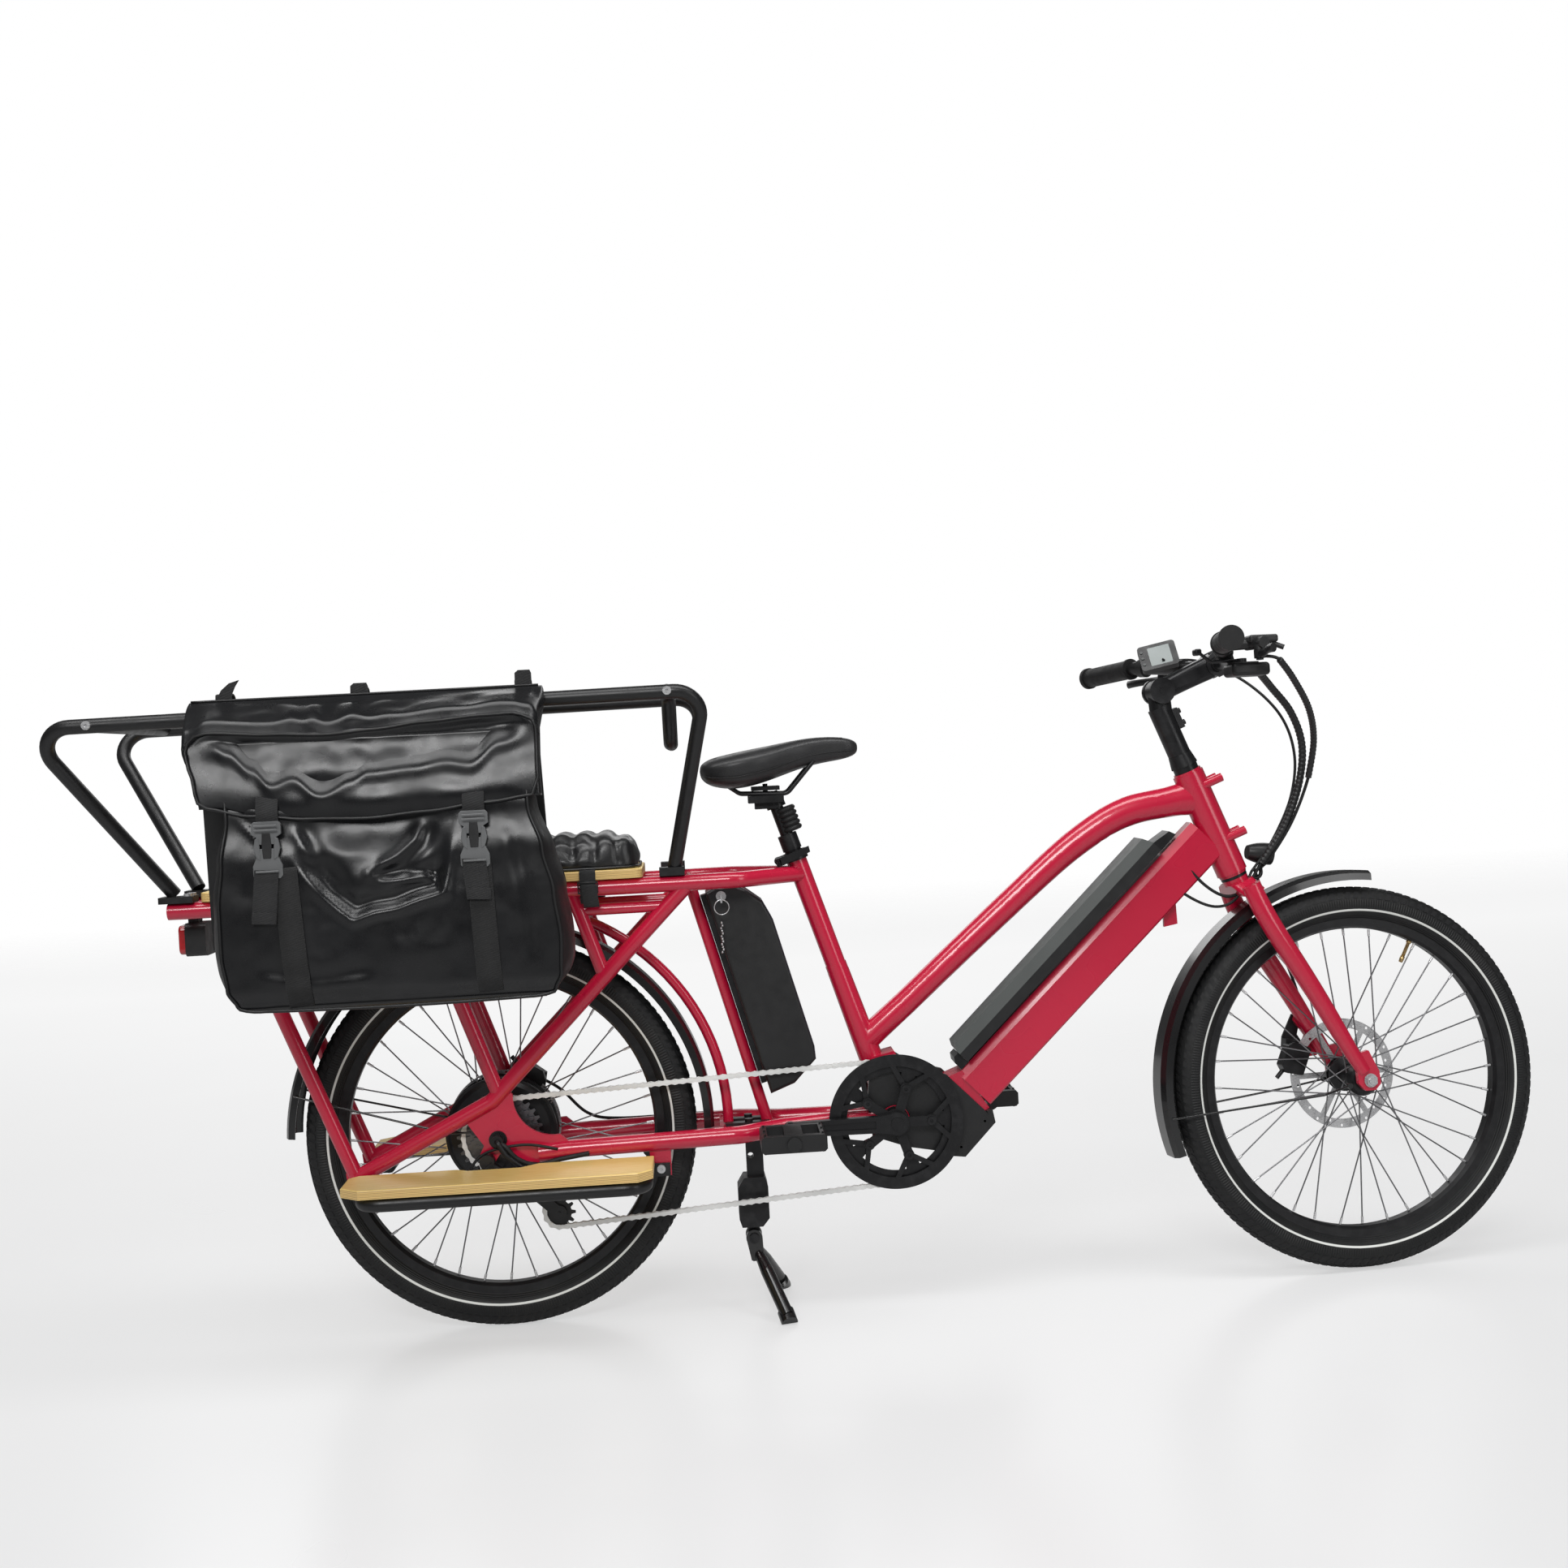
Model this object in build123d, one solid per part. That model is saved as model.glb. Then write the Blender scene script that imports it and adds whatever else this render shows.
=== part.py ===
from build123d import *
import math
import os

# Electric cargo bicycle. +X is forward, +Y is the rider's left, +Z is up, in millimetres.
# The origin is the point where the rear tyre meets the ground.

os.makedirs("parts", exist_ok=True)

# ---------------------------------------------------------------- driving dimensions
WHEEL_R = 308.0            # 24 inch wheel with a 55 mm tyre
TYRE_SECTION_R = 27.5
TYRE_WALL = 3.5
RIM_INNER_R = 241.0
RIM_OUTER_R = 262.0
RIM_HALF = 14.5
SPOKE_R = 1.15
SPOKES = 36
WHEELBASE = 1380.0

HEAD_ANGLE = 68.6          # degrees above the ground
HEAD_TOP = (1128.5, 819.6)     # X, Z of the head tube's top, on the steering axis
HEAD_LENGTH = 184.0
REST_STEER = 7.0           # the bars are parked turned this far to the left

BB = (623.0, 292.0)        # X, Z of the crank axis
CRANK = 168.0
CHAIN_Y = -44.0            # plane of the chain
CHAIN_PITCH = 12.7
RING_TEETH = 48
SPROCKETS = (32, 28, 24, 21, 18, 16, 14)
DRIVEN_SPROCKET = 1
SPROCKET_STEP = 4.0
PULLEY_TEETH = 11
GUARD_R = 106.5

SEAT_TILT = 17.6           # degrees the seat tube leans back from vertical
SEAT_TUBE = 453.0          # from the crank axis to the tube's rim
SEAT_BORE_R = 13.65
POST_R = 13.6
RUNNING = 0.05             # radial clearance of every running fit

RAIL_Y = 77.0              # deck rails, left and right of the middle plane
RAIL_Z = 690.0
RAIL_R = 12.7
DROPOUT_Y = 71.0
STAY_R = 12.0
DECK_Z = 703.2             # underside of the wooden deck
BOARD_T = 14.0

HOOP_Y = 200.0
HOOP_Z = 984.0
HOOP_R = 11.0

FENDER_R = 336.0
FENDER_T = 1.6
FENDER_HALF = 31.0

BOARD_IN = 98.0            # running boards, from this side distance outwards
BOARD_OUT = 205.0
BOARD_TOP = 271.0

STAND_PIVOT = (390.0, 114.0)
STAND_FOOT = (435.0, 104.0)    # X and Y of a foot

STEM_PIVOT = (1089.0, 950.0)
BAR_CLAMP = (1185.0, 989.0)
GRIP_END = (1083.0, 318.0, 1001.0)
BAR_R = 11.1

REAR_AXLE = (0.0, 0.0, WHEEL_R)
FRONT_AXLE = (WHEELBASE, 0.0, WHEEL_R)

# ---------------------------------------------------------------- derived directions
head_rad = math.radians(HEAD_ANGLE)
HEAD_UP = Vector(-math.cos(head_rad), 0, math.sin(head_rad))
HEAD_FORE = Vector(math.sin(head_rad), 0, math.cos(head_rad))
HEAD_TOP_PT = Vector(HEAD_TOP[0], 0, HEAD_TOP[1])
STEER_AXIS = Axis(tuple(HEAD_TOP_PT), tuple(HEAD_UP))

seat_rad = math.radians(SEAT_TILT)
SEAT_UP = Vector(-math.sin(seat_rad), 0, math.cos(seat_rad))
BB_PT = Vector(BB[0], 0, BB[1])


def head_point(below_top, fore=0.0, side=0.0):
    """Point measured down the steering axis, forward of it and to the left."""
    return HEAD_TOP_PT - HEAD_UP * below_top + HEAD_FORE * fore + Vector(0, side, 0)


def seat_point(along, fore=0.0, side=0.0):
    """Point measured up the seat tube from the crank axis."""
    across = Vector(SEAT_UP.Z, 0, -SEAT_UP.X)
    return BB_PT + SEAT_UP * along + across * fore + Vector(0, side, 0)


# ---------------------------------------------------------------- general shapes
def plane_at(start, end):
    start = Vector(start)
    return Plane(origin=start, z_dir=Vector(end) - start)


def rod(start, end, radius, bore=0.0):
    """Round bar from start to end, or a tube when it has a bore."""
    length = (Vector(end) - Vector(start)).length
    section = Circle(radius) if bore <= 0 else Circle(radius) - Circle(bore)
    return extrude(plane_at(start, end) * section, amount=length)


def cone(start, end, radius_start, radius_end):
    here = plane_at(start, end)
    there = Plane(origin=end, z_dir=here.z_dir)
    return loft([here * Circle(radius_start), there * Circle(radius_end)])


def bent_rod(points, radius, bend):
    """Round bar bent to one radius at each corner."""
    path = FilletPolyline(*[Vector(p) for p in points], radius=bend)
    start = Plane(origin=path @ 0, z_dir=path % 0)
    return sweep(start * Circle(radius), path=path)


def cross_rod(x, z, y_from, y_to, radius, bore=0.0):
    """Round bar along Y."""
    return rod((x, y_from, z), (x, y_to, z), radius, bore)


def plate(outline, y_from, y_to):
    """Flat plate from an X, Z outline, between two Y positions."""
    face = make_face(Polyline(*[(x, 0, z) for x, z in outline], close=True))
    moved = Pos(0, y_from, 0) * face
    return extrude(moved, amount=y_to - y_from, dir=(0, 1, 0))


def box_between(low, high):
    size = [b - a for a, b in zip(low, high)]
    middle = [(a + b) / 2 for a, b in zip(low, high)]
    return Pos(*middle) * Box(*size)


def turned(profile):
    """Ring about the Y axis from a closed outline of (radius, y) points."""
    face = make_face(Polyline(*[(r, y, 0) for r, y in profile], close=True))
    return revolve(face, axis=Axis.Y)


def group(*solids):
    """Separate solids kept in one node."""
    found = []
    for item in solids:
        found += list(item.solids())
    return Compound(children=found)


def steered(shape):
    """Turn a steered part to the parked steering angle."""
    return shape.rotate(STEER_AXIS, REST_STEER)


def save(name, shape):
    export_step(shape, "parts/" + name + ".step")


def save_steered(name, shape):
    save(name, steered(shape))


# ---------------------------------------------------------------- wheels
def tyre():
    middle_r = WHEEL_R - TYRE_SECTION_R
    section = Pos(middle_r, 0) * (Circle(TYRE_SECTION_R) - Circle(TYRE_SECTION_R - TYRE_WALL))
    seat = Pos(RIM_OUTER_R / 2, 0) * Rectangle(RIM_OUTER_R + 0.1, 2 * RIM_HALF + 0.2)
    below = Pos(RIM_OUTER_R / 2 - 5, 0) * Rectangle(RIM_OUTER_R - 10, 80)
    return revolve(section - seat - below, axis=Axis.Y)


def rim():
    """Deep channel rim with a flange each side."""
    half = [(RIM_INNER_R, -8), (RIM_INNER_R + 4, -RIM_HALF), (RIM_OUTER_R, -RIM_HALF),
            (RIM_OUTER_R, -RIM_HALF + 2.2), (254, -RIM_HALF + 3.2), (250, -6)]
    return turned(half + [(r, -y) for r, y in reversed(half)])


def spokes(flange_r, flange_y, lead):
    """Crossed spokes with their nipples; lead is the angle a spoke gains, in degrees."""
    step = 360.0 / SPOKES
    found = []
    for i in range(SPOKES):
        side = 1 if i % 2 else -1
        turn = 1 if (i // 2) % 2 else -1
        rim_angle = math.radians(i * step)
        hub_angle = rim_angle + math.radians(turn * lead)
        hub_r = flange_r + 1.6
        hub_y = side * (flange_y + 2.6 * turn)
        start = Vector(hub_r * math.cos(hub_angle), hub_y, hub_r * math.sin(hub_angle))
        rim_in = RIM_INNER_R - 1.2
        end = Vector(rim_in * math.cos(rim_angle), side * 3, rim_in * math.sin(rim_angle))
        neck = end + (start - end).normalized() * 11
        found.append(rod(start, end, SPOKE_R) + rod(neck, end, 2.0))
    return group(*found)


def rotor(radius, y, bore):
    """Vented brake rotor with six arms."""
    ring = cross_rod(0, 0, y, y + 1.8, radius, radius - 15)
    hub = cross_rod(0, 0, y, y + 1.8, 28, bore)
    for i in range(6):
        arm = Pos(radius / 2 + 6, y + 0.9, 0) * Box(radius - 28, 1.8, 9)
        ring += arm.rotate(Axis.Y, i * 60)
    ring += hub
    for i in range(24):
        hole = cross_rod(radius - 7.5 + 3 * (-1) ** i, 0, y - 1, y + 3, 2.4)
        ring -= hole.rotate(Axis.Y, i * 15 + 4)
    return ring - cross_rod(0, 0, y - 1, y + 3, bore)


REAR_AXLE_R = 7.0
FRONT_AXLE_R = 6.0
MOTOR_R = 84.0
FRONT_HUB_R = 24.0
ROTOR_R = 90.0


def hub_motor():
    profile = [(REAR_AXLE_R + RUNNING, -33), (22, -33), (58, -30), (78, -26), (MOTOR_R, -20), (88, -20),
               (88, -16), (MOTOR_R, -15), (MOTOR_R, 15), (88, 16), (88, 20), (MOTOR_R, 20), (78, 26),
               (58, 30), (24, 33), (24, 38), (REAR_AXLE_R + RUNNING, 38)]
    return turned(profile)


def front_hub():
    profile = [(FRONT_AXLE_R + RUNNING, -44), (20, -44), (FRONT_HUB_R, -40), (FRONT_HUB_R + 4, -34),
               (FRONT_HUB_R + 4, -30), (17, -26), (15, 0), (17, 24), (FRONT_HUB_R + 4, 28),
               (FRONT_HUB_R + 4, 32), (FRONT_HUB_R, 36), (FRONT_HUB_R, 40), (FRONT_AXLE_R + RUNNING, 40)]
    return turned(profile)


def at_rear(shape):
    return Pos(*REAR_AXLE) * shape


def at_front(shape):
    return Pos(*FRONT_AXLE) * shape


save("rear_tyre", at_rear(tyre()))
save("rear_rim", at_rear(rim()))
save("rear_spokes", at_rear(spokes(88, 18, 12)))
save("hub_motor", group(at_rear(hub_motor()), at_rear(rotor(ROTOR_R, 38.2, 9))))
save_steered("front_tyre", at_front(tyre()))
save_steered("front_rim", at_front(rim()))
save_steered("front_spokes", at_front(spokes(FRONT_HUB_R + 4, 31, 58)))
save_steered("front_hub", group(at_front(front_hub()), at_front(rotor(ROTOR_R, 40.2, 9))))


# ---------------------------------------------------------------- frame weldment
RAIL_FRONT = seat_point(418, -4)       # where the deck rails meet the seat tube
BEND = (-6.0, 368.0)                   # knee of the main brace, above the dropout
LOW_CORNER = (-220.0, 262.0)           # rearmost low corner of the frame
STAY_FRONT = (600.0, 296.0)
BRACE_TOP_X = 316.0
ARC_R = 359.0
BRIDGE_Z = (286.0, 296.0)
HEAD_TUBE_R = 25.0
HEAD_BORE_R = 17.0


def seat_tube_outer():
    flare = cone(seat_point(10), seat_point(250), 20.5, 17.5)
    return flare + rod(seat_point(248), seat_point(SEAT_TUBE), 16.2) + rod(seat_point(240), seat_point(262), 17.2)


def head_tube_outer():
    tube = rod(head_point(4), head_point(HEAD_LENGTH - 4), HEAD_TUBE_R)
    for start in (0, HEAD_LENGTH - 12):
        tube += rod(head_point(start), head_point(start + 12), 22.5)
    return tube


def section_loft(stations):
    """Loft oval sections through (X, Z, half height, half width) stations."""
    faces = []
    for i, (x, z, high, wide) in enumerate(stations):
        before = stations[max(i - 1, 0)]
        after = stations[min(i + 1, len(stations) - 1)]
        along = Vector(after[0] - before[0], 0, after[1] - before[1])
        plane = Plane(origin=(x, 0, z), x_dir=(0, 1, 0), z_dir=along)
        faces.append(plane * Ellipse(wide, high))
    return loft(faces)


TOP_TUBE = ((586, 416, 20, 19), (640, 462, 20, 19), (702, 515, 20, 19), (764, 568, 20.3, 19),
            (847, 638, 20.8, 19), (896, 679, 21.5, 19.2), (931, 706, 22.2, 19.5), (964, 728, 22.8, 19.7),
            (997, 747, 23.4, 20), (1046, 764, 24, 20.3), (1094, 771, 24.5, 20.6), (1148, 771, 24.5, 21))


def top_tube(wall=0.0):
    return section_loft([(x, z, high - wall, wide - wall) for x, z, high, wide in TOP_TUBE])


def down_tube(wall=0.0):
    """Box tube whose lower edges are chamfered; it narrows towards the head tube."""
    faces = []
    low = Vector(753.5, 0, 331)
    high = Vector(1152, 0, 711)
    for point, half_width in ((low, 28), (high, 22)):
        plane = Plane(origin=point, x_dir=(0, 1, 0), z_dir=high - low)
        half_depth = 35.5 - wall
        half = half_width - wall
        cut = 13.0
        # with x to the left and z along the tube, the plane's y axis points down and forward
        outline = [(-half, -half_depth + 3), (-half + 3, -half_depth), (half - 3, -half_depth),
                   (half, -half_depth + 3), (half, half_depth - cut), (half - cut * 0.55, half_depth),
                   (-half + cut * 0.55, half_depth), (-half, half_depth - cut)]
        faces.append(plane * make_face(Polyline(*outline, close=True)))
    return loft(faces)


def dropout(side):
    """Plate that joins the brace, the stay and the rear axle."""
    outline = [(-52, 344), (-4, 372), (10, 396), (40, 360), (108, 300), (108, 274), (60, 269),
               (20, 276), (2, 286), (-10, 268), (-26, 268), (-30, 284), (-22, 300)]
    body = plate(outline, side * DROPOUT_Y - 3.5, side * DROPOUT_Y + 3.5)
    body -= cross_rod(88, 372, side * DROPOUT_Y - 5, side * DROPOUT_Y + 5, 62)
    body -= cross_rod(0, WHEEL_R, side * DROPOUT_Y - 5, side * DROPOUT_Y + 5, REAR_AXLE_R + 0.1)
    return body - cross_rod(-17, 277, side * DROPOUT_Y - 5, side * DROPOUT_Y + 5, 5.05)


def rear_side(side):
    """All the tubes of one side of the cargo frame."""
    y = side * DROPOUT_Y
    rail_y = side * RAIL_Y
    rail = bent_rod([(-481, rail_y, RAIL_Z), (392, rail_y, RAIL_Z),
                     (RAIL_FRONT.X, side * 8, RAIL_Z)], RAIL_R, 40)
    brace = bent_rod([(BRACE_TOP_X, rail_y - side * 3, RAIL_Z), (BEND[0], y, BEND[1]),
                      (LOW_CORNER[0], y, LOW_CORNER[1])], STAY_R + 0.5, 30)
    stay = bent_rod([(62, y, 283), (105, y, 286), (375, y, 291), (443, side * 40, 293), (523, side * 26, 295),
                     (STAY_FRONT[0], side * 26, STAY_FRONT[1])], 14, 40)
    body = rail + brace + stay
    for rail_x, low_x, low_z, radius in ((-384, LOW_CORNER[0], LOW_CORNER[1], 11.5),
                                         (-104, 4, 380, 11.5), (133, 178, 552, 11.0)):
        body += rod((rail_x, rail_y - side * 3, RAIL_Z), (low_x, y, low_z), radius)
    body += rod((143, y, 656), (282, y, 656), 9.0)
    body += dropout(side)
    board_tab = plate([(232, 285), (266, 285), (266, 236), (236, 236)], y - 3, y + 3)
    board_tab -= cross_rod(250, 248, y - 5, y + 5, 4.05)
    rear_tab = plate([(-236, 270), (-204, 270), (-206, 236), (-232, 236)], y - 3, y + 3)
    rear_tab -= cross_rod(-219, 248, y - 5, y + 5, 4.05)
    return body + board_tab + rear_tab


def spine():
    """Middle plane tubes and the members that cross from side to side."""
    body = rod((BRACE_TOP_X, 0, RAIL_Z), (423, 0, 292), 9.0)
    start = math.radians(66)
    end = math.radians(-1.5)
    arc = [(ARC_R * math.cos(a), 0, WHEEL_R + ARC_R * math.sin(a)) for a in (start, (start + end) / 2, end)]
    path = ThreePointArc(*[Vector(p) for p in arc])
    body += sweep(Plane(origin=path @ 0, z_dir=path % 0) * Circle(8.2), path=path)
    bridge = Polyline((345, -66), (378, -66), (436, -42), (436, 42), (378, 66), (345, 66), close=True)
    body += extrude(Pos(0, 0, BRIDGE_Z[0]) * make_face(bridge), amount=BRIDGE_Z[1] - BRIDGE_Z[0])
    for x, z, half in ((BRACE_TOP_X, RAIL_Z, RAIL_Y), (-384, RAIL_Z, RAIL_Y), (-104, RAIL_Z, RAIL_Y),
                       (-462, RAIL_Z, RAIL_Y), (149, 635, DROPOUT_Y)):
        body += cross_rod(x, z, -half, half, 9.0)
    return body


def crank_housing():
    """Welded box round the crank shell that the seat tube, the down tube and the stays run into."""
    outline = [(592, 392), (586, 330), (594, 278), (640, 262), (712, 262), (776, 300), (735, 362), (690, 345),
               (655, 345), (628, 400)]
    return plate(outline, -25, 25) + cross_rod(BB[0], BB[1], -35, 35, 23.5)


def stay_clearance():
    """Room for the cup flanges where the stays run in beside the crank shell."""
    return cross_rod(BB[0], BB[1], -45, -35.05, 23) + cross_rod(BB[0], BB[1], 35.05, 45, 23)


def rack_bosses():
    body = None
    for below in (30.4, 123.8):
        for side in (-16, 16):
            boss = rod(head_point(below, 10, side), head_point(below, 44, side), 7.0)
            body = boss if body is None else body + boss
    return body


def boss_holes():
    holes = None
    for below in (30.4, 123.8):
        for side in (-16, 16):
            hole = rod(head_point(below, 29, side), head_point(below, 50, side), 2.5)
            holes = hole if holes is None else holes + hole
    return holes


def cable_lug():
    return plate([(1078, 610), (1098, 628), (1100, 574), (1078, 570)], -4, 4)


def frame():
    body = seat_tube_outer() + head_tube_outer() + top_tube() + down_tube() + crank_housing()
    body += spine()
    for side in (-1, 1):
        body += rear_side(side)
    body += rack_bosses() + cable_lug()
    body -= top_tube(2.0) & box_between((640, -60, 300), (1108, 60, 900))
    body -= down_tube(2.2) & box_between((700, -60, 340), (1125, 60, 900))
    body -= rod(seat_point(40), seat_point(SEAT_TUBE + 5), SEAT_BORE_R)
    body -= rod(head_point(-5), head_point(HEAD_LENGTH + 5), HEAD_BORE_R)
    body -= cross_rod(BB[0], BB[1], -40, 40, 20.0)
    body -= stay_clearance()
    return body - boss_holes()


save("frame", frame())


# ---------------------------------------------------------------- bearings and covers
SPINDLE_R = 10.0
STEERER_R = 14.3


def bearing_cups():
    """Pressed cups: two round the steerer, two round the crank spindle."""
    inner = STEERER_R + RUNNING
    upper = rod(head_point(-9), head_point(-0.05), 20, inner) + rod(head_point(-0.05), head_point(14), HEAD_BORE_R, inner)
    lower_end = HEAD_LENGTH
    lower = rod(head_point(lower_end - 14), head_point(lower_end + 0.05), HEAD_BORE_R, inner)
    lower += rod(head_point(lower_end + 0.05), head_point(lower_end + 5), 21.5, inner)
    cups = [upper, lower]
    for side in (-1, 1):
        cup = cross_rod(BB[0], BB[1], side * 22, side * 35, 20.0, SPINDLE_R + RUNNING)
        cup += cross_rod(BB[0], BB[1], side * 35.06, side * 38.5, 22.0, SPINDLE_R + RUNNING)
        cup += cross_rod(BB[0], BB[1], side * 34, side * 36, 19.9, SPINDLE_R + RUNNING)
        cups.append(cup)
    return group(*cups)


COVER_OUTLINE = [(588, 384), (580, 320), (586, 268), (640, 248), (712, 234), (731, 232), (777, 276),
                 (777, 284), (769, 296), (709, 358), (660, 372), (630, 392)]


def controller_cover():
    """Two moulded halves that clip over the crank housing, each with a hole for the crank shell."""
    halves = []
    for side in (-1, 1):
        half = plate(COVER_OUTLINE, min(side * 25.2, side * 36), max(side * 25.2, side * 36))
        half -= cross_rod(BB[0], BB[1], side * 20, side * 40, 24.0)
        lip = plate([(779, 300), (783, 278), (732, 226), (700, 230), (700, 236), (730, 236), (776, 281),
                     (770, 297)], min(side * 0.1, side * 36), max(side * 0.1, side * 36))
        lip -= down_tube()
        lip -= plate([(776, 300), (735, 362), (712, 262), (776, 298)], -26, 26)
        half += lip
        for x, z in ((766, 281), (726, 242)):
            half -= cross_rod(x, z, side * 20, side * 40, 2.05)
        half -= rod((523, side * 26, 295), (STAY_FRONT[0] + 12, side * 26, STAY_FRONT[1]), 14.5)
        halves.append(half)
    return group(*halves)


save("bearing_cups", bearing_cups())
save("controller_cover", controller_cover())


# ---------------------------------------------------------------- deck, pad and rails
DECK_X = (-430.0, 246.0)
DECK_HALF = 92.0
PAD_X = (-66.0, 243.0)
PAD_HALF = 84.0
PAD_H = 46.0
STRAP_X = (148.0, 174.0)


def deck_board():
    length = DECK_X[1] - DECK_X[0]
    outline = RectangleRounded(length, 2 * DECK_HALF, 14)
    body = extrude(Pos((DECK_X[0] + DECK_X[1]) / 2, 0, DECK_Z) * outline, amount=BOARD_T)
    return fillet(body.edges().group_by(Axis.Z)[-1], 2)


def passenger_pad():
    """Plain cushion block; it rests on the deck."""
    length = PAD_X[1] - PAD_X[0]
    low = DECK_Z + BOARD_T + 0.3
    outline = RectangleRounded(length, 2 * PAD_HALF, 22)
    body = extrude(Pos((PAD_X[0] + PAD_X[1]) / 2, 0, low) * outline, amount=PAD_H)
    return fillet(body.edges().group_by(Axis.Z)[-1], 14)


def pad_strap():
    """Webbing that holds the deck and pad down, looped outside the rails, with a ladder buckle."""
    parts = []
    for side in (-1, 1):
        y = side * (DECK_HALF + 1.5)
        web = box_between((STRAP_X[0], min(y, y + side * 1.6), 676), (STRAP_X[1], max(y, y + side * 1.6), 719))
        hook = box_between((STRAP_X[0] - 2, min(y - side * 9, y + side * 3), 664),
                           (STRAP_X[1] + 8, max(y - side * 9, y + side * 3), 676))
        parts.append(web + hook)
    return group(*parts)


def hoop(side):
    """One side rail: front leg, level rail, raked rear leg, with its two feet."""
    y = side * HOOP_Y
    rail_y = side * RAIL_Y
    tube = bent_rod([(296, rail_y, 716), (356, y, HOOP_Z), (-640, y, HOOP_Z - 8),
                     (-472, side * 70, 716)], HOOP_R, 38)
    foot = box_between((272, min(rail_y - 13, rail_y + 13), 703.0), (311, max(rail_y - 13, rail_y + 13), 716))
    shoe = box_between((-492, min(side * 56, side * 92), 703.0), (-440, max(side * 56, side * 92), 713))
    return tube + foot + shoe


def hoop_crossbars():
    """Dropped front bar and straight rear bar between the side rails."""
    inner = HOOP_Y - HOOP_R - 0.3
    front = bent_rod([(300, -inner, 985), (300, -128, 985), (300, -100, 907), (300, 100, 907),
                      (300, 128, 985), (300, inner, 985)], 10.5, 26)
    rear = cross_rod(-546, 977.5, -inner, inner, 10.5)
    return front, rear


def passenger_rails():
    front, rear = hoop_crossbars()
    return group(hoop(-1), hoop(1), front, rear)


save("deck_board", deck_board())
save("passenger_pad", passenger_pad())
save("pad_strap", pad_strap())
save("passenger_rails", passenger_rails())


# ---------------------------------------------------------------- running boards
BOARD_X = (-226.0, 240.0)


def running_board(side):
    """Foot board with a heel notch in its inner edge."""
    low = BOARD_TOP - BOARD_T
    outline = [(BOARD_X[0] + 14, BOARD_IN), (-62, BOARD_IN), (-44, BOARD_IN + 12), (36, BOARD_IN + 12),
               (62, BOARD_IN - 10), (BOARD_X[1], BOARD_IN - 10), (BOARD_X[1], BOARD_OUT - 22),
               (BOARD_X[1] - 22, BOARD_OUT), (BOARD_X[0] + 30, BOARD_OUT), (BOARD_X[0], BOARD_OUT - 26),
               (BOARD_X[0], BOARD_IN + 16)]
    face = make_face(Polyline(*[(x, side * y, low) for x, y in outline], close=True))
    body = extrude(face, amount=BOARD_T, dir=(0, 0, 1))
    return fillet(body.edges().group_by(Axis.Z)[-1], 2.5)


def board_support(side):
    """Bent tube that carries the board and bolts to the two frame tabs."""
    out = side * 191
    inner = side * (DROPOUT_Y + 8)
    tube = bent_rod([(228, inner, 245.5), (228, out, 245.5), (-196, out, 245.5), (-196, inner, 245.5)], 11, 30)
    for hole_x, x_from, x_to in ((250, 222, 264), (-219, -234, -190)):
        flange = box_between((x_from, min(side * 74.2, side * 80), 236), (x_to, max(side * 74.2, side * 80), 256.3))
        tube += flange
        tube -= cross_rod(hole_x, 248, side * 70, side * 92, 4.05)
    return tube - rear_side_tube(side)


def rear_side_tube(side):
    """Room round the low stay of the frame."""
    y = side * DROPOUT_Y
    return rod((BEND[0], y, BEND[1]), (LOW_CORNER[0] - 20, y, LOW_CORNER[1] - 9.9), STAY_R + 0.8)


save("running_boards", group(running_board(-1), running_board(1)))
save("board_supports", group(board_support(-1), board_support(1)))


# ---------------------------------------------------------------- batteries
BATTERY_HALF = 36.0
STRUT_DIR = Vector(423 - BRACE_TOP_X, 0, 292 - RAIL_Z).normalized()
STRUT_OUT = Vector(-STRUT_DIR.Z, 0, STRUT_DIR.X)


def strut_point(along, out, side=0.0):
    """Point measured down the battery strut from the deck rails and forward of it."""
    return Vector(BRACE_TOP_X, side, RAIL_Z) + STRUT_DIR * along + STRUT_OUT * out


def strut_block(corners, half):
    face = make_face(Polyline(*[strut_point(a, o) for a, o in corners], close=True))
    return extrude(Pos(0, -half, 0) * face, amount=2 * half, dir=(0, 1, 0))


def rear_battery():
    corners = [(27, 19), (22, 40), (23, 58), (41, 81), (67, 101), (100, 108), (312, 108), (332, 104),
               (358, 60), (362, 19)]
    body = strut_block(corners, BATTERY_HALF)
    side_edges = [edge for edge in body.edges() if abs(edge.center().Y) > BATTERY_HALF - 1]
    return fillet(side_edges, 6) - lock_hole(BATTERY_HALF - 8)


LOCK_AT = strut_point(39, 41)
LOCK_R = 8.0


def lock_hole(depth_y):
    return cross_rod(LOCK_AT.X, LOCK_AT.Z, -BATTERY_HALF - 2, -depth_y, LOCK_R + RUNNING)


def battery_key():
    """Lock barrel with the key in it, and the key's ring."""
    x, z = LOCK_AT.X, LOCK_AT.Z
    face_y = -BATTERY_HALF
    barrel = cross_rod(x, z, face_y + 7.9, face_y - 1.5, LOCK_R)
    blade = box_between((x - 1.2, face_y - 14, z - 4), (x + 1.2, face_y - 1.0, z + 4))
    bow = box_between((x - 1.4, face_y - 24, z - 9), (x + 1.4, face_y - 13, z + 6))
    bow -= rod((x - 4, face_y - 19, z - 5), (x + 4, face_y - 19, z - 5), 2.0)
    ring = Pos(x, face_y - 19, z - 16) * Torus(11.5, 0.8).rotate(Axis.X, 90)
    return group(barrel + blade + bow, ring)


TUBE_LOW = Vector(732.9, 0, 359.7)
TUBE_DIR = Vector(1114 - 732.9, 0, 729.6 - 359.7).normalized()
TUBE_OUT = Vector(-TUBE_DIR.Z, 0, TUBE_DIR.X)


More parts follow.
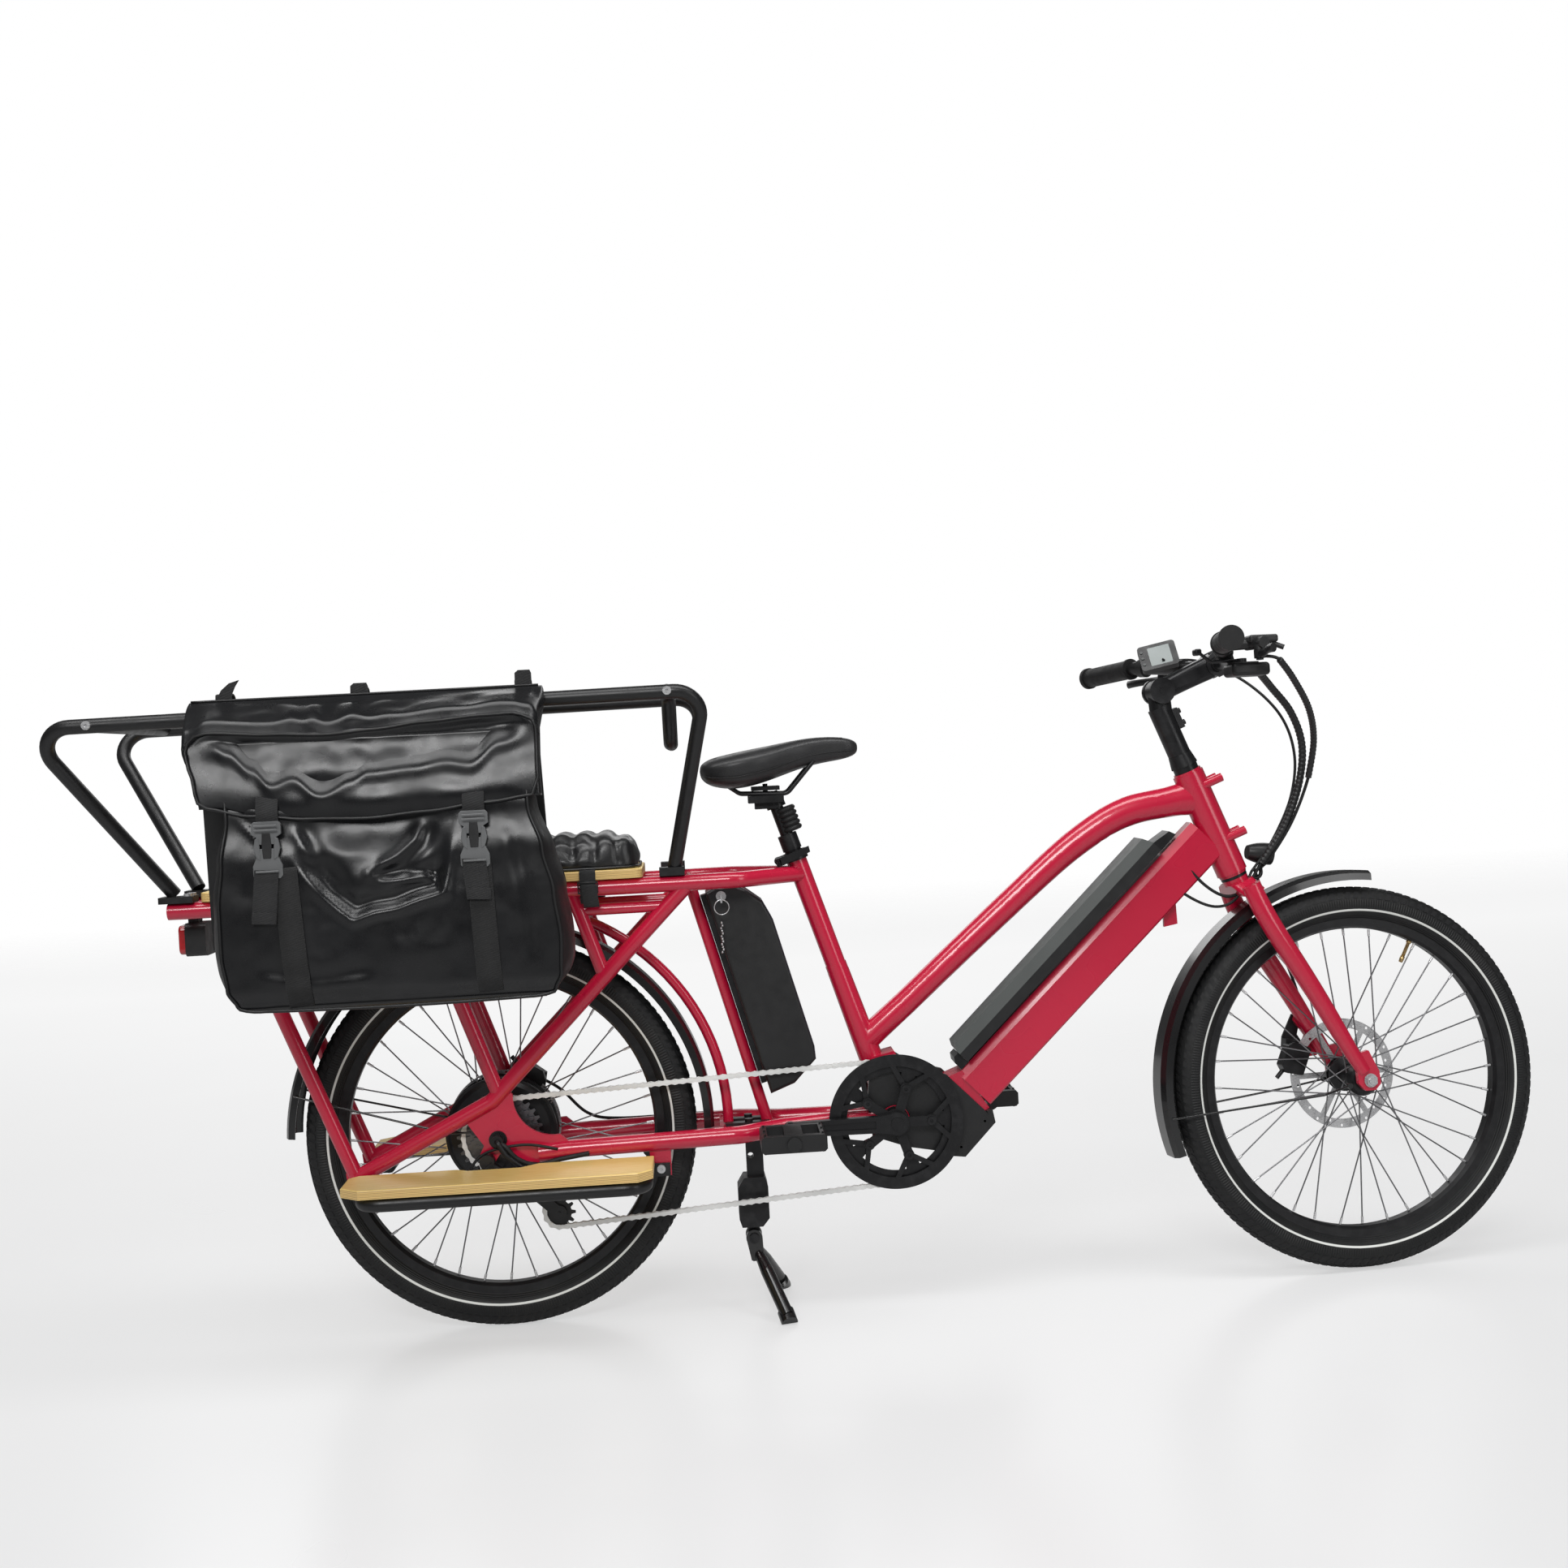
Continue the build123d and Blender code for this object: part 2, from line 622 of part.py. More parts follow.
def tube_point(along, out):
    """Point measured up the down tube's top face and out from it."""
    return TUBE_LOW + TUBE_DIR * along + TUBE_OUT * out


def tube_block(corners, half):
    face = make_face(Polyline(*[tube_point(a, o) for a, o in corners], close=True))
    return extrude(Pos(0, -half, 0) * face, amount=2 * half, dir=(0, 1, 0))


def downtube_battery():
    """Case with a sloping shoulder along each side; it stands on the top face of the down tube."""
    sections = []
    for along in (20, 477):
        plane = Plane(origin=tube_point(along, 6), x_dir=(0, 1, 0), z_dir=TUBE_DIR)
        outline = [(-38, 0), (-38, 17), (-28, 33), (28, 33), (38, 17), (38, 0)]
        sections.append(plane * make_face(Polyline(*outline, close=True)))
    body = loft(sections)
    nose = tube_block([(18, 5), (18, 60), (36, 60), (18, 24)], 50)
    tail = tube_block([(478, 5), (478, 60), (462, 60), (478, 22)], 50)
    return body - nose - tail


def battery_mounts():
    """Dock rail on the strut and the end docks on the down tube."""
    rail = strut_block([(30, 9.6), (30, 18.6), (345, 18.6), (345, 9.6)], 14)
    low = tube_block([(4, 1.2), (4, 16), (10, 24), (19, 24), (19, 1.2)], 24)
    high = tube_block([(479, 2.2), (479, 20), (510, 14), (514, 2.2)], 22)
    tray = tube_block([(22, 2.2), (22, 5.4), (474, 5.4), (474, 2.2)], 20)
    return group(rail, low, high, tray)


save("rear_battery", rear_battery())
save("battery_key", battery_key())
save("downtube_battery", downtube_battery())
save("battery_mounts", battery_mounts())


# ---------------------------------------------------------------- fenders
def fender_blade(angle_from, angle_to, flare_at):
    """Channel-section mudguard; its last stretch is a flared flap."""
    half = FENDER_HALF
    outer = [(FENDER_R - 16, -half), (FENDER_R - 5, -half + 3), (FENDER_R, -half + 14), (FENDER_R, half - 14),
             (FENDER_R - 5, half - 3), (FENDER_R - 16, half)]
    inner = [(r - (FENDER_T if abs(y) < half - 1 else 0), y * (half - FENDER_T) / half) for r, y in reversed(outer)]
    face = make_face(Polyline(*[(r, y, 0) for r, y in outer + inner], close=True))
    sweep_angle = angle_to - angle_from
    blade = revolve(face, axis=Axis.Y, revolution_arc=sweep_angle)
    return blade.rotate(Axis.Y, -angle_from - sweep_angle if flare_at < 0 else -angle_to)


def fender_stay(side, start, end_angle, end_r):
    """Wire stay from the dropout to the mudguard's edge."""
    a = math.radians(end_angle)
    tip = (end_r * math.cos(a), side * (FENDER_HALF + 1.9), end_r * math.sin(a))
    elbow = (tip[0] * 0.24, side * 58, tip[2] * 0.24 - 8)
    eyelet = cross_rod(start[0], start[2], start[1] - side * 3, start[1] + side * 3.3, 4.5)
    return bent_rod([start, elbow, tip], 1.7, 6) + eyelet


def rear_fender():
    blade = fender_blade(-2, 178, 1)
    stays = [fender_stay(side, (-38, side * 64, 12), 166, FENDER_R - 8) for side in (-1, 1)]
    return group(at_rear(blade), *[at_rear(s) for s in stays])


def front_fender():
    blade = fender_blade(83, 198, 1)
    stays = [fender_stay(side, (-30, side * 46.8, -8), 187, FENDER_R - 8) for side in (-1, 1)]
    return group(at_front(blade), *[at_front(s) for s in stays])


save("rear_fender", rear_fender())
save_steered("front_fender", front_fender())


# ---------------------------------------------------------------- drivetrain
def pitch_radius(teeth):
    return CHAIN_PITCH / (2 * math.sin(math.pi / teeth))


def toothed_disc(teeth, y, thickness, bore):
    """Sprocket about the Y axis, centred on y."""
    radius = pitch_radius(teeth)
    outline = []
    for i in range(teeth):
        for shift, reach in ((-0.30, -3.3), (-0.13, 3.0), (0.13, 3.0), (0.30, -3.3)):
            angle = 2 * math.pi * (i + shift) / teeth
            outline.append(((radius + reach) * math.cos(angle), (radius + reach) * math.sin(angle)))
    disc = plate(outline, y - thickness / 2, y + thickness / 2)
    return disc - cross_rod(0, 0, y - 5, y + 5, bore)


def cassette():
    """Sprocket stack on its freewheel body."""
    body = turned([(REAR_AXLE_R + RUNNING, -33.4), (24, -33.4), (24, -38), (18, -38), (18, -65), (14, -65),
                   (14, -66.4), (REAR_AXLE_R + RUNNING, -66.4)])
    parts = [body]
    for i, teeth in enumerate(SPROCKETS):
        y = CHAIN_Y + SPROCKET_STEP * (DRIVEN_SPROCKET - i)
        parts.append(toothed_disc(teeth, y, 1.8, 18.0 + RUNNING))
    for i in range(len(SPROCKETS) - 1):
        y = CHAIN_Y + SPROCKET_STEP * (DRIVEN_SPROCKET - i) - 0.95
        parts.append(cross_rod(0, 0, y - SPROCKET_STEP + 1.9 + 0.02, y - 0.02, 21, 18.0 + RUNNING))
    return group(*parts)


RING_R = pitch_radius(RING_TEETH)
PULLEY_R = pitch_radius(PULLEY_TEETH)
GUIDE_PULLEY = (38.0, 226.0)
TENSION_PULLEY = (86.0, 181.6)
# X, Z, radius and turning sense (1 is anticlockwise seen from the right) of each wheel the chain meets
CHAIN_PATH = ((BB[0], BB[1], RING_R, 1), (0.0, WHEEL_R, pitch_radius(SPROCKETS[DRIVEN_SPROCKET]), 1),
              (GUIDE_PULLEY[0], GUIDE_PULLEY[1], PULLEY_R, -1),
              (TENSION_PULLEY[0], TENSION_PULLEY[1], PULLEY_R, 1))


def chain_runs(offset):
    """Straight runs of the curve that keeps a distance outside the chain's pins."""
    wheels = [(x, z, radius + turn * offset, turn) for x, z, radius, turn in CHAIN_PATH]
    runs = []
    for i, (x0, z0, r0, turn0) in enumerate(wheels):
        x1, z1, r1, turn1 = wheels[(i + 1) % len(wheels)]
        length = math.hypot(x1 - x0, z1 - z0)
        heading = math.atan2(z1 - z0, x1 - x0)
        normal = heading - math.acos((turn0 * r0 - turn1 * r1) / length)
        across = (math.cos(normal), math.sin(normal))
        runs.append(((x0 + turn0 * r0 * across[0], z0 + turn0 * r0 * across[1]),
                     (x1 + turn1 * r1 * across[0], z1 + turn1 * r1 * across[1])))
    return runs


def chain_face(offset):
    wheels = [(x, z, radius + turn * offset, turn) for x, z, radius, turn in CHAIN_PATH]
    runs = chain_runs(offset)
    edges = []
    for i, (start, end) in enumerate(runs):
        edges.append(Line((start[0], 0, start[1]), (end[0], 0, end[1])))
        x, z, radius, turn = wheels[(i + 1) % len(wheels)]
        onward = runs[(i + 1) % len(runs)][0]
        angle_in = math.atan2(end[1] - z, end[0] - x)
        angle_out = math.atan2(onward[1] - z, onward[0] - x)
        swing = (turn * (angle_out - angle_in)) % (2 * math.pi)
        middle = angle_in + turn * swing / 2
        edges.append(ThreePointArc((end[0], 0, end[1]),
                                   (x + radius * math.cos(middle), 0, z + radius * math.sin(middle)),
                                   (onward[0], 0, onward[1])))
    return make_face(edges)


def chain():
    """Two side plate loops joined by the pins of the straight runs."""
    loop = chain_face(4.0) - chain_face(-4.0)
    near = extrude(Pos(0, CHAIN_Y - 2.9, 0) * loop, amount=1.6, dir=(0, 1, 0))
    far = extrude(Pos(0, CHAIN_Y + 1.3, 0) * loop, amount=1.6, dir=(0, 1, 0))
    body = near + far
    pins = []
    for i, ((x0, z0), (x1, z1)) in enumerate(chain_runs(0.0)):
        length = math.hypot(x1 - x0, z1 - z0)
        clear_start = math.sqrt(10 * CHAIN_PATH[i][2] + 25) + 1.5
        clear_end = math.sqrt(10 * CHAIN_PATH[(i + 1) % len(CHAIN_PATH)][2] + 25) + 1.5
        count = max(int((length - clear_start - clear_end) / (2 * CHAIN_PITCH)), 1)
        pitch = (length - clear_start - clear_end) / count
        for n in range(count):
            part = (clear_start + pitch * (n + 0.5)) / length
            pins.append(cross_rod(x0 + (x1 - x0) * part, z0 + (z1 - z0) * part, CHAIN_Y - 3.4, CHAIN_Y + 3.0, 1.9))
    return body + pins


def rear_axle():
    """Axle with its shoulders, a nut each end, and the motor cable's boot."""
    axle = cross_rod(0, 0, -80, 80, REAR_AXLE_R)
    axle += cross_rod(0, 0, 40.4, 67.4, 11) + cross_rod(0, 0, -67.4, -66.5, 11)
    parts = [axle]
    for side in (-1, 1):
        nut = Plane(origin=(0, side * 74.6, 0), z_dir=(0, side, 0)) * RegularPolygon(11.5, 6)
        nut = extrude(nut, amount=9) + cross_rod(0, 0, side * 74.6, side * 76.4, 14)
        parts.append(nut - cross_rod(0, 0, side * 70, side * 90, REAR_AXLE_R + RUNNING))
    boot = bent_rod([(0, -84.2, 0), (0, -94, 0), (14, -97, -22), (40, -95, -44)], 4.5, 6)
    parts.append(boot + cross_rod(0, 0, -92, -84.1, 9))
    return group(*[at_rear(p) for p in parts])


def cage_plate(y_from, y_to):
    reach = Vector(TENSION_PULLEY[0] - GUIDE_PULLEY[0], TENSION_PULLEY[1] - GUIDE_PULLEY[1]).normalized()
    across = Vector(-reach.Y, reach.X)
    corners = [Vector(*GUIDE_PULLEY) + across * 9, Vector(*TENSION_PULLEY) + across * 9,
               Vector(*TENSION_PULLEY) - across * 9, Vector(*GUIDE_PULLEY) - across * 9]
    body = plate([(c.X, c.Y) for c in corners], y_from, y_to)
    for x, z in (GUIDE_PULLEY, TENSION_PULLEY):
        body += cross_rod(x, z, y_from, y_to, 12)
    return body


def rear_derailleur():
    """Hanging body, parallelogram and cage, with both pulleys."""
    near = cage_plate(CHAIN_Y - 5.2, CHAIN_Y - 3.6)
    far = cage_plate(CHAIN_Y + 3.3, CHAIN_Y + 4.7)
    pins = [cross_rod(x, z, CHAIN_Y - 6.5, CHAIN_Y + 5.5, 2.5) for x, z in (GUIDE_PULLEY, TENSION_PULLEY)]
    cage = near + far + pins
    knuckle = cross_rod(-17, 277, -93, -75, 11.5) + cross_rod(-17, 277, -75, -67.6, 5.0)
    low_knuckle = cross_rod(GUIDE_PULLEY[0], GUIDE_PULLEY[1], -72, CHAIN_Y - 5.2, 11)
    link = loft([Plane(origin=(-19, -88, 272), x_dir=(0.74, 0, 0.67), z_dir=(0.64, 0.24, -0.7)) * Rectangle(20, 12),
                 Plane(origin=(34, -65, 229), x_dir=(0.74, 0, 0.67), z_dir=(0.64, 0.24, -0.7)) * Rectangle(18, 11)])
    screws = cross_rod(-8, 262, -95.5, -90, 3.2) + cross_rod(20, 240, -78, -70, 3.2)
    anchor = rod((-30, -84, 268), (-46, -82, 262), 4.2)
    body = cage + knuckle + low_knuckle + link + screws + anchor
    pulleys = []
    for x, z in (GUIDE_PULLEY, TENSION_PULLEY):
        pulleys.append(Pos(x, 0, z) * toothed_disc(PULLEY_TEETH, CHAIN_Y, 2.2, 2.5 + RUNNING))
    return group(body, *pulleys)


def caliper(inner_y, centre_angle):
    """Two piece brake body astride a rotor whose disc lies just outside inner_y, about the Y axis."""
    outline = [(66, -24), (96, -27), (106, -18), (108, 16), (98, 26), (68, 22)]
    body = plate(outline, inner_y - 7.5, inner_y + 15)
    slot = plate([(40, -40), (100, -40), (100, 40), (40, 40)], inner_y - 0.5, inner_y + 2.5)
    piston = cross_rod(82, 0, inner_y + 14, inner_y + 19, 11)
    hose = rod((96, inner_y + 9, 20), (104, inner_y + 9, 38), 3.6)
    body = fillet(body.edges().filter_by(Axis.Y), 4) + piston + hose - slot
    return body.rotate(Axis.Y, -centre_angle)


def rear_caliper():
    """Brake body on an open bracket beside the left dropout."""
    body = caliper(38.0, 62)
    bracket = plate([(30, 20), (62, 36), (70, 78), (52, 92), (30, 62), (20, 40)], 53.1, 67.2)
    bracket -= plate([(36, 40), (56, 46), (60, 76), (50, 80), (38, 60)], 60, 69)
    bracket -= cross_rod(0, 0, 50, 70, 16)
    return at_rear(body + bracket)


save("cassette", at_rear(cassette()))
save("chain", chain())
save("rear_axle", rear_axle())
save("rear_derailleur", rear_derailleur())
save("rear_caliper", rear_caliper())


# ---------------------------------------------------------------- cranks and pedals
BOLT_CIRCLE = 55.0
SPIDER_ANGLES = tuple(72 * i for i in range(5))


def at_crank(shape):
    return Pos(BB[0], 0, BB[1]) * shape


def crank_spindle():
    return cross_rod(0, 0, -70.5, 70.5, SPINDLE_R) + cross_rod(0, 0, -55.9, -52.5, 13)


def chainring():
    """Toothed ring, chain guard with its five spread arms, and five bolts."""
    ring = toothed_disc(RING_TEETH, CHAIN_Y, 2.0, 78)
    guard = cross_rod(0, 0, -51.7, -49.3, GUARD_R, 88)
    for angle in SPIDER_ANGLES:
        a = math.radians(angle)
        hole = (BOLT_CIRCLE * math.cos(a), BOLT_CIRCLE * math.sin(a))
        tab = plate([(80, -12), (80, 12), (58, 8), (50, 6), (50, -6), (58, -8)], CHAIN_Y - 1, CHAIN_Y + 1)
        ring += tab.rotate(Axis.Y, -angle)
        guard += cross_rod(hole[0], hole[1], -51.7, -49.3, 8.5)
        for spread in (-20, 20):
            b = math.radians(angle + spread)
            across = (math.cos(b) * 92, math.sin(b) * 92)
            guard += hull_bar(hole, across, 4.0, -51.7, -49.3)
        drill = cross_rod(hole[0], hole[1], -55, -40, 4.0 + RUNNING)
        ring -= drill
        guard -= drill
    bolts = []
    for angle in SPIDER_ANGLES:
        a = math.radians(angle)
        x, z = BOLT_CIRCLE * math.cos(a), BOLT_CIRCLE * math.sin(a)
        bolt = cross_rod(x, z, -60, -42.6, 4.0) + cross_rod(x, z, -61.5, -58.2, 6.5)
        bolt += cross_rod(x, z, -49.2, -45.1, 6.4) + cross_rod(x, z, -42.9, -41.2, 6.4)
        bolts.append(bolt - Plane(origin=(x, -61.6, z), z_dir=(0, 1, 0)) * extrude(RegularPolygon(3, 6), amount=2))
    return group(*[at_crank(p) for p in [ring, guard] + bolts])


def hull_bar(start, end, half, y_from, y_to):
    """Flat bar between two X, Z points."""
    along = Vector(end[0] - start[0], end[1] - start[1]).normalized()
    side = Vector(-along.Y, along.X) * half
    corners = [(start[0] + side.X, start[1] + side.Y), (end[0] + side.X, end[1] + side.Y),
               (end[0] - side.X, end[1] - side.Y), (start[0] - side.X, start[1] - side.Y)]
    return plate(corners, y_from, y_to)


def crank_arm(side):
    """Arm that tapers from the spindle boss to the pedal eye; it points along +X."""
    inner = side * 56
    outer = side * 69
    body = cross_rod(0, 0, inner, outer, 18) + cross_rod(CRANK, 0, inner, outer, 12.5)
    arm = plate([(0, -17), (30, -13), (CRANK, -11.5), (CRANK, 11.5), (30, 13), (0, 17)],
                min(inner, outer), max(inner, outer))
    arm -= plate([(34, -6), (CRANK - 24, -4.5), (CRANK - 24, 4.5), (34, 6)],
                 min(side * 66.5, outer + side), max(side * 66.5, outer + side))
    body += arm
    body -= cross_rod(0, 0, side * 50, side * 75, SPINDLE_R + RUNNING)
    return body - cross_rod(CRANK, 0, side * 50, side * 75, 7 + RUNNING)


def pedal_axle(side):
    return cross_rod(CRANK, 0, side * 54, side * 70, 7) + cross_rod(CRANK, 0, side * 70, side * 176, 5)


def crank_arms():
    """Spindle, both arms, the right one with its five arm spider, and the pedal axles."""
    spider = cross_rod(0, 0, -58, -53.2, 21)
    for angle in SPIDER_ANGLES:
        a = math.radians(angle)
        hole = (BOLT_CIRCLE * math.cos(a), BOLT_CIRCLE * math.sin(a))
        spider += hull_bar((0, 0), hole, 7.5, -58, -53.2) + cross_rod(hole[0], hole[1], -58, -52.0, 8.5)
    for angle in SPIDER_ANGLES:
        a = math.radians(angle)
        spider -= cross_rod(BOLT_CIRCLE * math.cos(a), BOLT_CIRCLE * math.sin(a), -70, -50, 4.0 + RUNNING)
    spider -= cross_rod(0, 0, -60, -50, 13 + RUNNING)
    right = crank_arm(-1).rotate(Axis.Y, 180) + spider
    axle = pedal_axle(-1).rotate(Axis.Y, 180)
    return group(*[at_crank(p) for p in (crank_spindle(), right, crank_arm(1), axle, pedal_axle(1))])


def pedal(side):
    """Platform pedal: a frame round two windows, a barrel on the axle, and pins top and bottom."""
    near, far = side * 80, side * 174
    low, high = min(near, far), max(near, far)
    outline = extrude(Pos(0, low, 0) * make_face(Polyline((-50, 0, -9), (-46, 0, -13), (46, 0, -13), (50, 0, -9),
                                                          (50, 0, 9), (46, 0, 13), (-46, 0, 13), (-50, 0, 9),
                                                          close=True)), amount=high - low, dir=(0, 1, 0))
    middle = (low + high) / 2
    for x in (-27, 27):
        outline -= Pos(x, middle, 0) * Box(26, high - low - 26, 40)
    for x in (-44, 44):
        for y in (low + 12, middle, high - 12):
            outline += rod((x, y, -15.5), (x, y, 15.5), 1.6)
    outline += cross_rod(0, 0, side * 77, side * 180, 11)
    return outline - cross_rod(0, 0, side * 70, side * 177, 5.0 + RUNNING)


save("chainring", chainring())
save("crank_arms", crank_arms())
save("pedal_right", at_crank(Pos(-CRANK, 0, 0) * pedal(-1)))
save("pedal_left", at_crank(Pos(CRANK, 0, 0) * pedal(1)))


# ---------------------------------------------------------------- kickstand
STAND_PT = (STAND_PIVOT[0], 0.0, STAND_PIVOT[1])
STAND_PIN_R = 5.0
STAND_LEG_R = 10.5


def kickstand_bracket():
    """Clamp plates on the bridge, a post down to the head, and the pivot pin."""
    body = box_between((354, -27, 279), (424, 27, 285.8))
    clamps = [box_between((354, min(side * 10.5, side * 27), 296.2), (424, max(side * 10.5, side * 27), 301))
              for side in (-1, 1)]
    body += box_between((384, -12, 205), (411, 12, 280))
    body += plate([(378, 212), (412, 212), (416, 196), (416, 146), (405, 133), (372, 133), (368, 146), (368, 196)],
                  -24, 24)
    lug = plate([(381, 140), (399, 140), (399, STAND_PT[2]), (381, STAND_PT[2])], -9.5, 9.5)
    body += lug + cross_rod(STAND_PT[0], STAND_PT[2], -9.5, 9.5, 12)
    body -= cross_rod(STAND_PT[0], STAND_PT[2], -12, 12, STAND_PIN_R + RUNNING)
    body -= cross_rod(391, 245, -20, 20, 5)
    pin = cross_rod(STAND_PT[0], STAND_PT[2], -17.5, 17.5, STAND_PIN_R)
    for side in (-1, 1):
        pin += cross_rod(STAND_PT[0], STAND_PT[2], side * 17.6, side * 21, 8)
    bolts = [rod((391, side * 19, 301.1), (391, side * 19, 306), 6.5) for side in (-1, 1)]
    return group(body, pin, *clamps, *bolts)


def kickstand_legs():
    """Two splayed legs on one forked yoke, each with a rubber foot."""
    x, z = STAND_PT[0], STAND_PT[2]
    body = None
    feet = []
    for side in (-1, 1):
        cheek = cross_rod(x, z, side * 10.2, side * 17.2, 13)
        cheek += plate([(x - 13, z), (x + 13, z), (x + 14, z - 36), (x - 6, z - 36)],
                       min(side * 10.2, side * 17.2), max(side * 10.2, side * 17.2))
        root = Vector(x + 6, side * 12, z - 26)
        tip = Vector(STAND_FOOT[0] - 1.5, side * (STAND_FOOT[1] - 7), 10.5)
        knee = root + (tip - root) * 0.3
        leg = cone(root, knee, 8, STAND_LEG_R) + rod(knee, tip, STAND_LEG_R)
        body = cheek + leg if body is None else body + cheek + leg
        end = rod(root, tip + (tip - root) * 0.01, STAND_LEG_R + 0.1)
        foot = rod((STAND_FOOT[0] - 4, side * (STAND_FOOT[1] - 18), 14),
                   (STAND_FOOT[0] + 1, side * STAND_FOOT[1], 1), 13)
        foot = foot - end - box_between((380, -200, -30), (500, 200, 0))
        feet.append(foot)
    body += box_between((x - 4, -17, z - 37), (x + 13, 17, z - 19))
    body -= cross_rod(x, z, -30, 30, STAND_PIN_R + RUNNING)
    return group(body, *feet)


save("kickstand_bracket", kickstand_bracket())
save("kickstand_legs", kickstand_legs())


# ---------------------------------------------------------------- seat
COLLAR_LOW = 440.0
POST_TOP = 482.0           # telescoping post's end, along the seat tube line
CAM = (447.5, -27.0, -16.5)    # lever pivot: along, fore, side


def seat_clamp():
    """Split collar with its ears, skewer, nut and the pin the lever turns on."""
    along, fore, cam_y = CAM
    # the plane's y axis points backwards
    low = Plane(origin=seat_point(COLLAR_LOW), x_dir=(0, 1, 0), z_dir=SEAT_UP)
    outline = Circle(20) + Pos(0, 23) * Rectangle(18, 16)
    outline -= Circle(16.2 + RUNNING)
    outline -= Pos(0, 24) * Rectangle(4, 20)
    ring = extrude(low * outline, amount=14.5)
    bolt_at = seat_point(along, fore)
    ring -= rod((bolt_at.X, -30, bolt_at.Z), (bolt_at.X, 30, bolt_at.Z), 2.2 + RUNNING)
    skewer = rod((bolt_at.X, -14, bolt_at.Z), (bolt_at.X, 14, bolt_at.Z), 2.2)
    eye = rod(seat_point(along - 2.5, fore, cam_y), seat_point(along + 2.5, fore, cam_y), 4.2)
    pin = rod(seat_point(along - 6.5, fore, cam_y), seat_point(along + 6.5, fore, cam_y), 2.0)
    nut = rod((bolt_at.X, 9.1, bolt_at.Z), (bolt_at.X, 15, bolt_at.Z), 7)
    return group(ring, skewer + eye + pin + nut)


def seat_clamp_lever():
    """Forked cam with a blade that lies along the collar."""
    along, fore, cam_y = CAM
    body = None
    for low, high in ((-6.5, -2.7), (2.7, 6.5)):
        cheek = rod(seat_point(along + low, fore, cam_y), seat_point(along + high, fore, cam_y), 6.2)
        cheek += rod(seat_point(along + low, fore + 4, cam_y - 5), seat_point(along + high, fore + 4, cam_y - 5), 4)
        body = cheek if body is None else body + cheek
    blade = loft([Plane(origin=seat_point(along, fore + 3, cam_y - 7), x_dir=SEAT_UP, z_dir=(0.93, -0.25, 0.2))
                  * Rectangle(13, 4.5),
                  Plane(origin=seat_point(along + 4, fore + 51, cam_y - 15), x_dir=SEAT_UP, z_dir=(0.93, -0.25, 0.2))
                  * Rectangle(10, 4)])
    body += blade
    return body - rod(seat_point(along - 9, fore, cam_y), seat_point(along + 9, fore, cam_y), 2.0 + RUNNING)


def seatpost():
    """Lower post with its collar nut."""
    tube = rod(seat_point(140), seat_point(462), POST_R, 10.5)
    return tube + rod(seat_point(458), seat_point(484), 15.5, 10.5)


def seatpost_boot():
    """Folded rubber sleeve between the collar nut and the saddle's head."""
    boot = None
    for i in range(5):
        ring = rod(seat_point(486 + i * 8), seat_point(491 + i * 8), 17, 10.8)
        neck = rod(seat_point(490.5 + i * 8), seat_point(494.5 + i * 8), 14, 10.8)
        boot = ring + neck if boot is None else boot + ring + neck
    return boot


RAIL_PATH = ((372, 846), (405, 822), (480, 819), (524, 868))


def saddle_clamp():
    """Sprung plunger with the cradle on its head, and the two saddle rails it holds."""
    plunger = rod(seat_point(330), seat_point(556), 10.45)
    head = rod(seat_point(530), seat_point(548), 15.5)
    cradle = box_between((418, -26, 806), (474, 26, 817.5)) + box_between((428, -15, 796), (462, 15, 808))
    cap = box_between((424, -27, 825.6), (468, 27, 832))
    bolt = rod((446, 0, 805), (446, 0, 836), 4)
    body = plunger + head + cradle + cap + bolt
    grooves = None
    rails = []
    for side in (-1, 1):
        path = [(x, side * (22 if i in (1, 2) else 24), z) for i, (x, z) in enumerate(RAIL_PATH)]
        rail = bent_rod(path, 3.5, 14)
        grooves = bent_rod(path, 3.6, 14) if grooves is None else grooves + bent_rod(path, 3.6, 14)
        rails.append(rail)
    return group(body - grooves, *rails)


def saddle():
    """Padded top on its shell; wide at the back, narrow at the nose."""
    stations = ((343, 861, 42, 9), (360, 862, 62, 22), (395, 866, 72, 30), (430, 870, 68, 33), (470, 879, 52, 30),
                (510, 889, 34, 24), (550, 892, 25, 20), (580, 892, 21, 15), (596, 889, 15, 6))
    faces = []
    for x, z, half_width, half_height in stations:
        faces.append(Plane(origin=(x, 0, z), x_dir=(0, 1, 0), z_dir=(1, 0, 0)) * Ellipse(half_width, half_height * 0.72))
    body = loft(faces)
    for side in (-1, 1):
        for x, z in (RAIL_PATH[0], RAIL_PATH[-1]):
            body -= rod((x, side * 24, z - 8), (x, side * 24, z + 8), 6.5)
    return body


save("seat_clamp", seat_clamp())
save("seat_clamp_lever", seat_clamp_lever())
save("seatpost", seatpost())
save("seatpost_boot", seatpost_boot())
save("saddle_clamp", saddle_clamp())
save("saddle", saddle())


# ---------------------------------------------------------------- fork and stem
FORK_Y = 55.0
CALIPER_TAB_Y = 68.0           # outer face of the brake tab on the left blade
CALIPER_BOLTS = ((1325.0, 346.0), (1319.0, 401.0))
BLADE = ((1205, 632, 15.5), (1232, 566, 16.5), (1300, 450, 15), (1352, 356, 12.5), (1372, 322, 11))


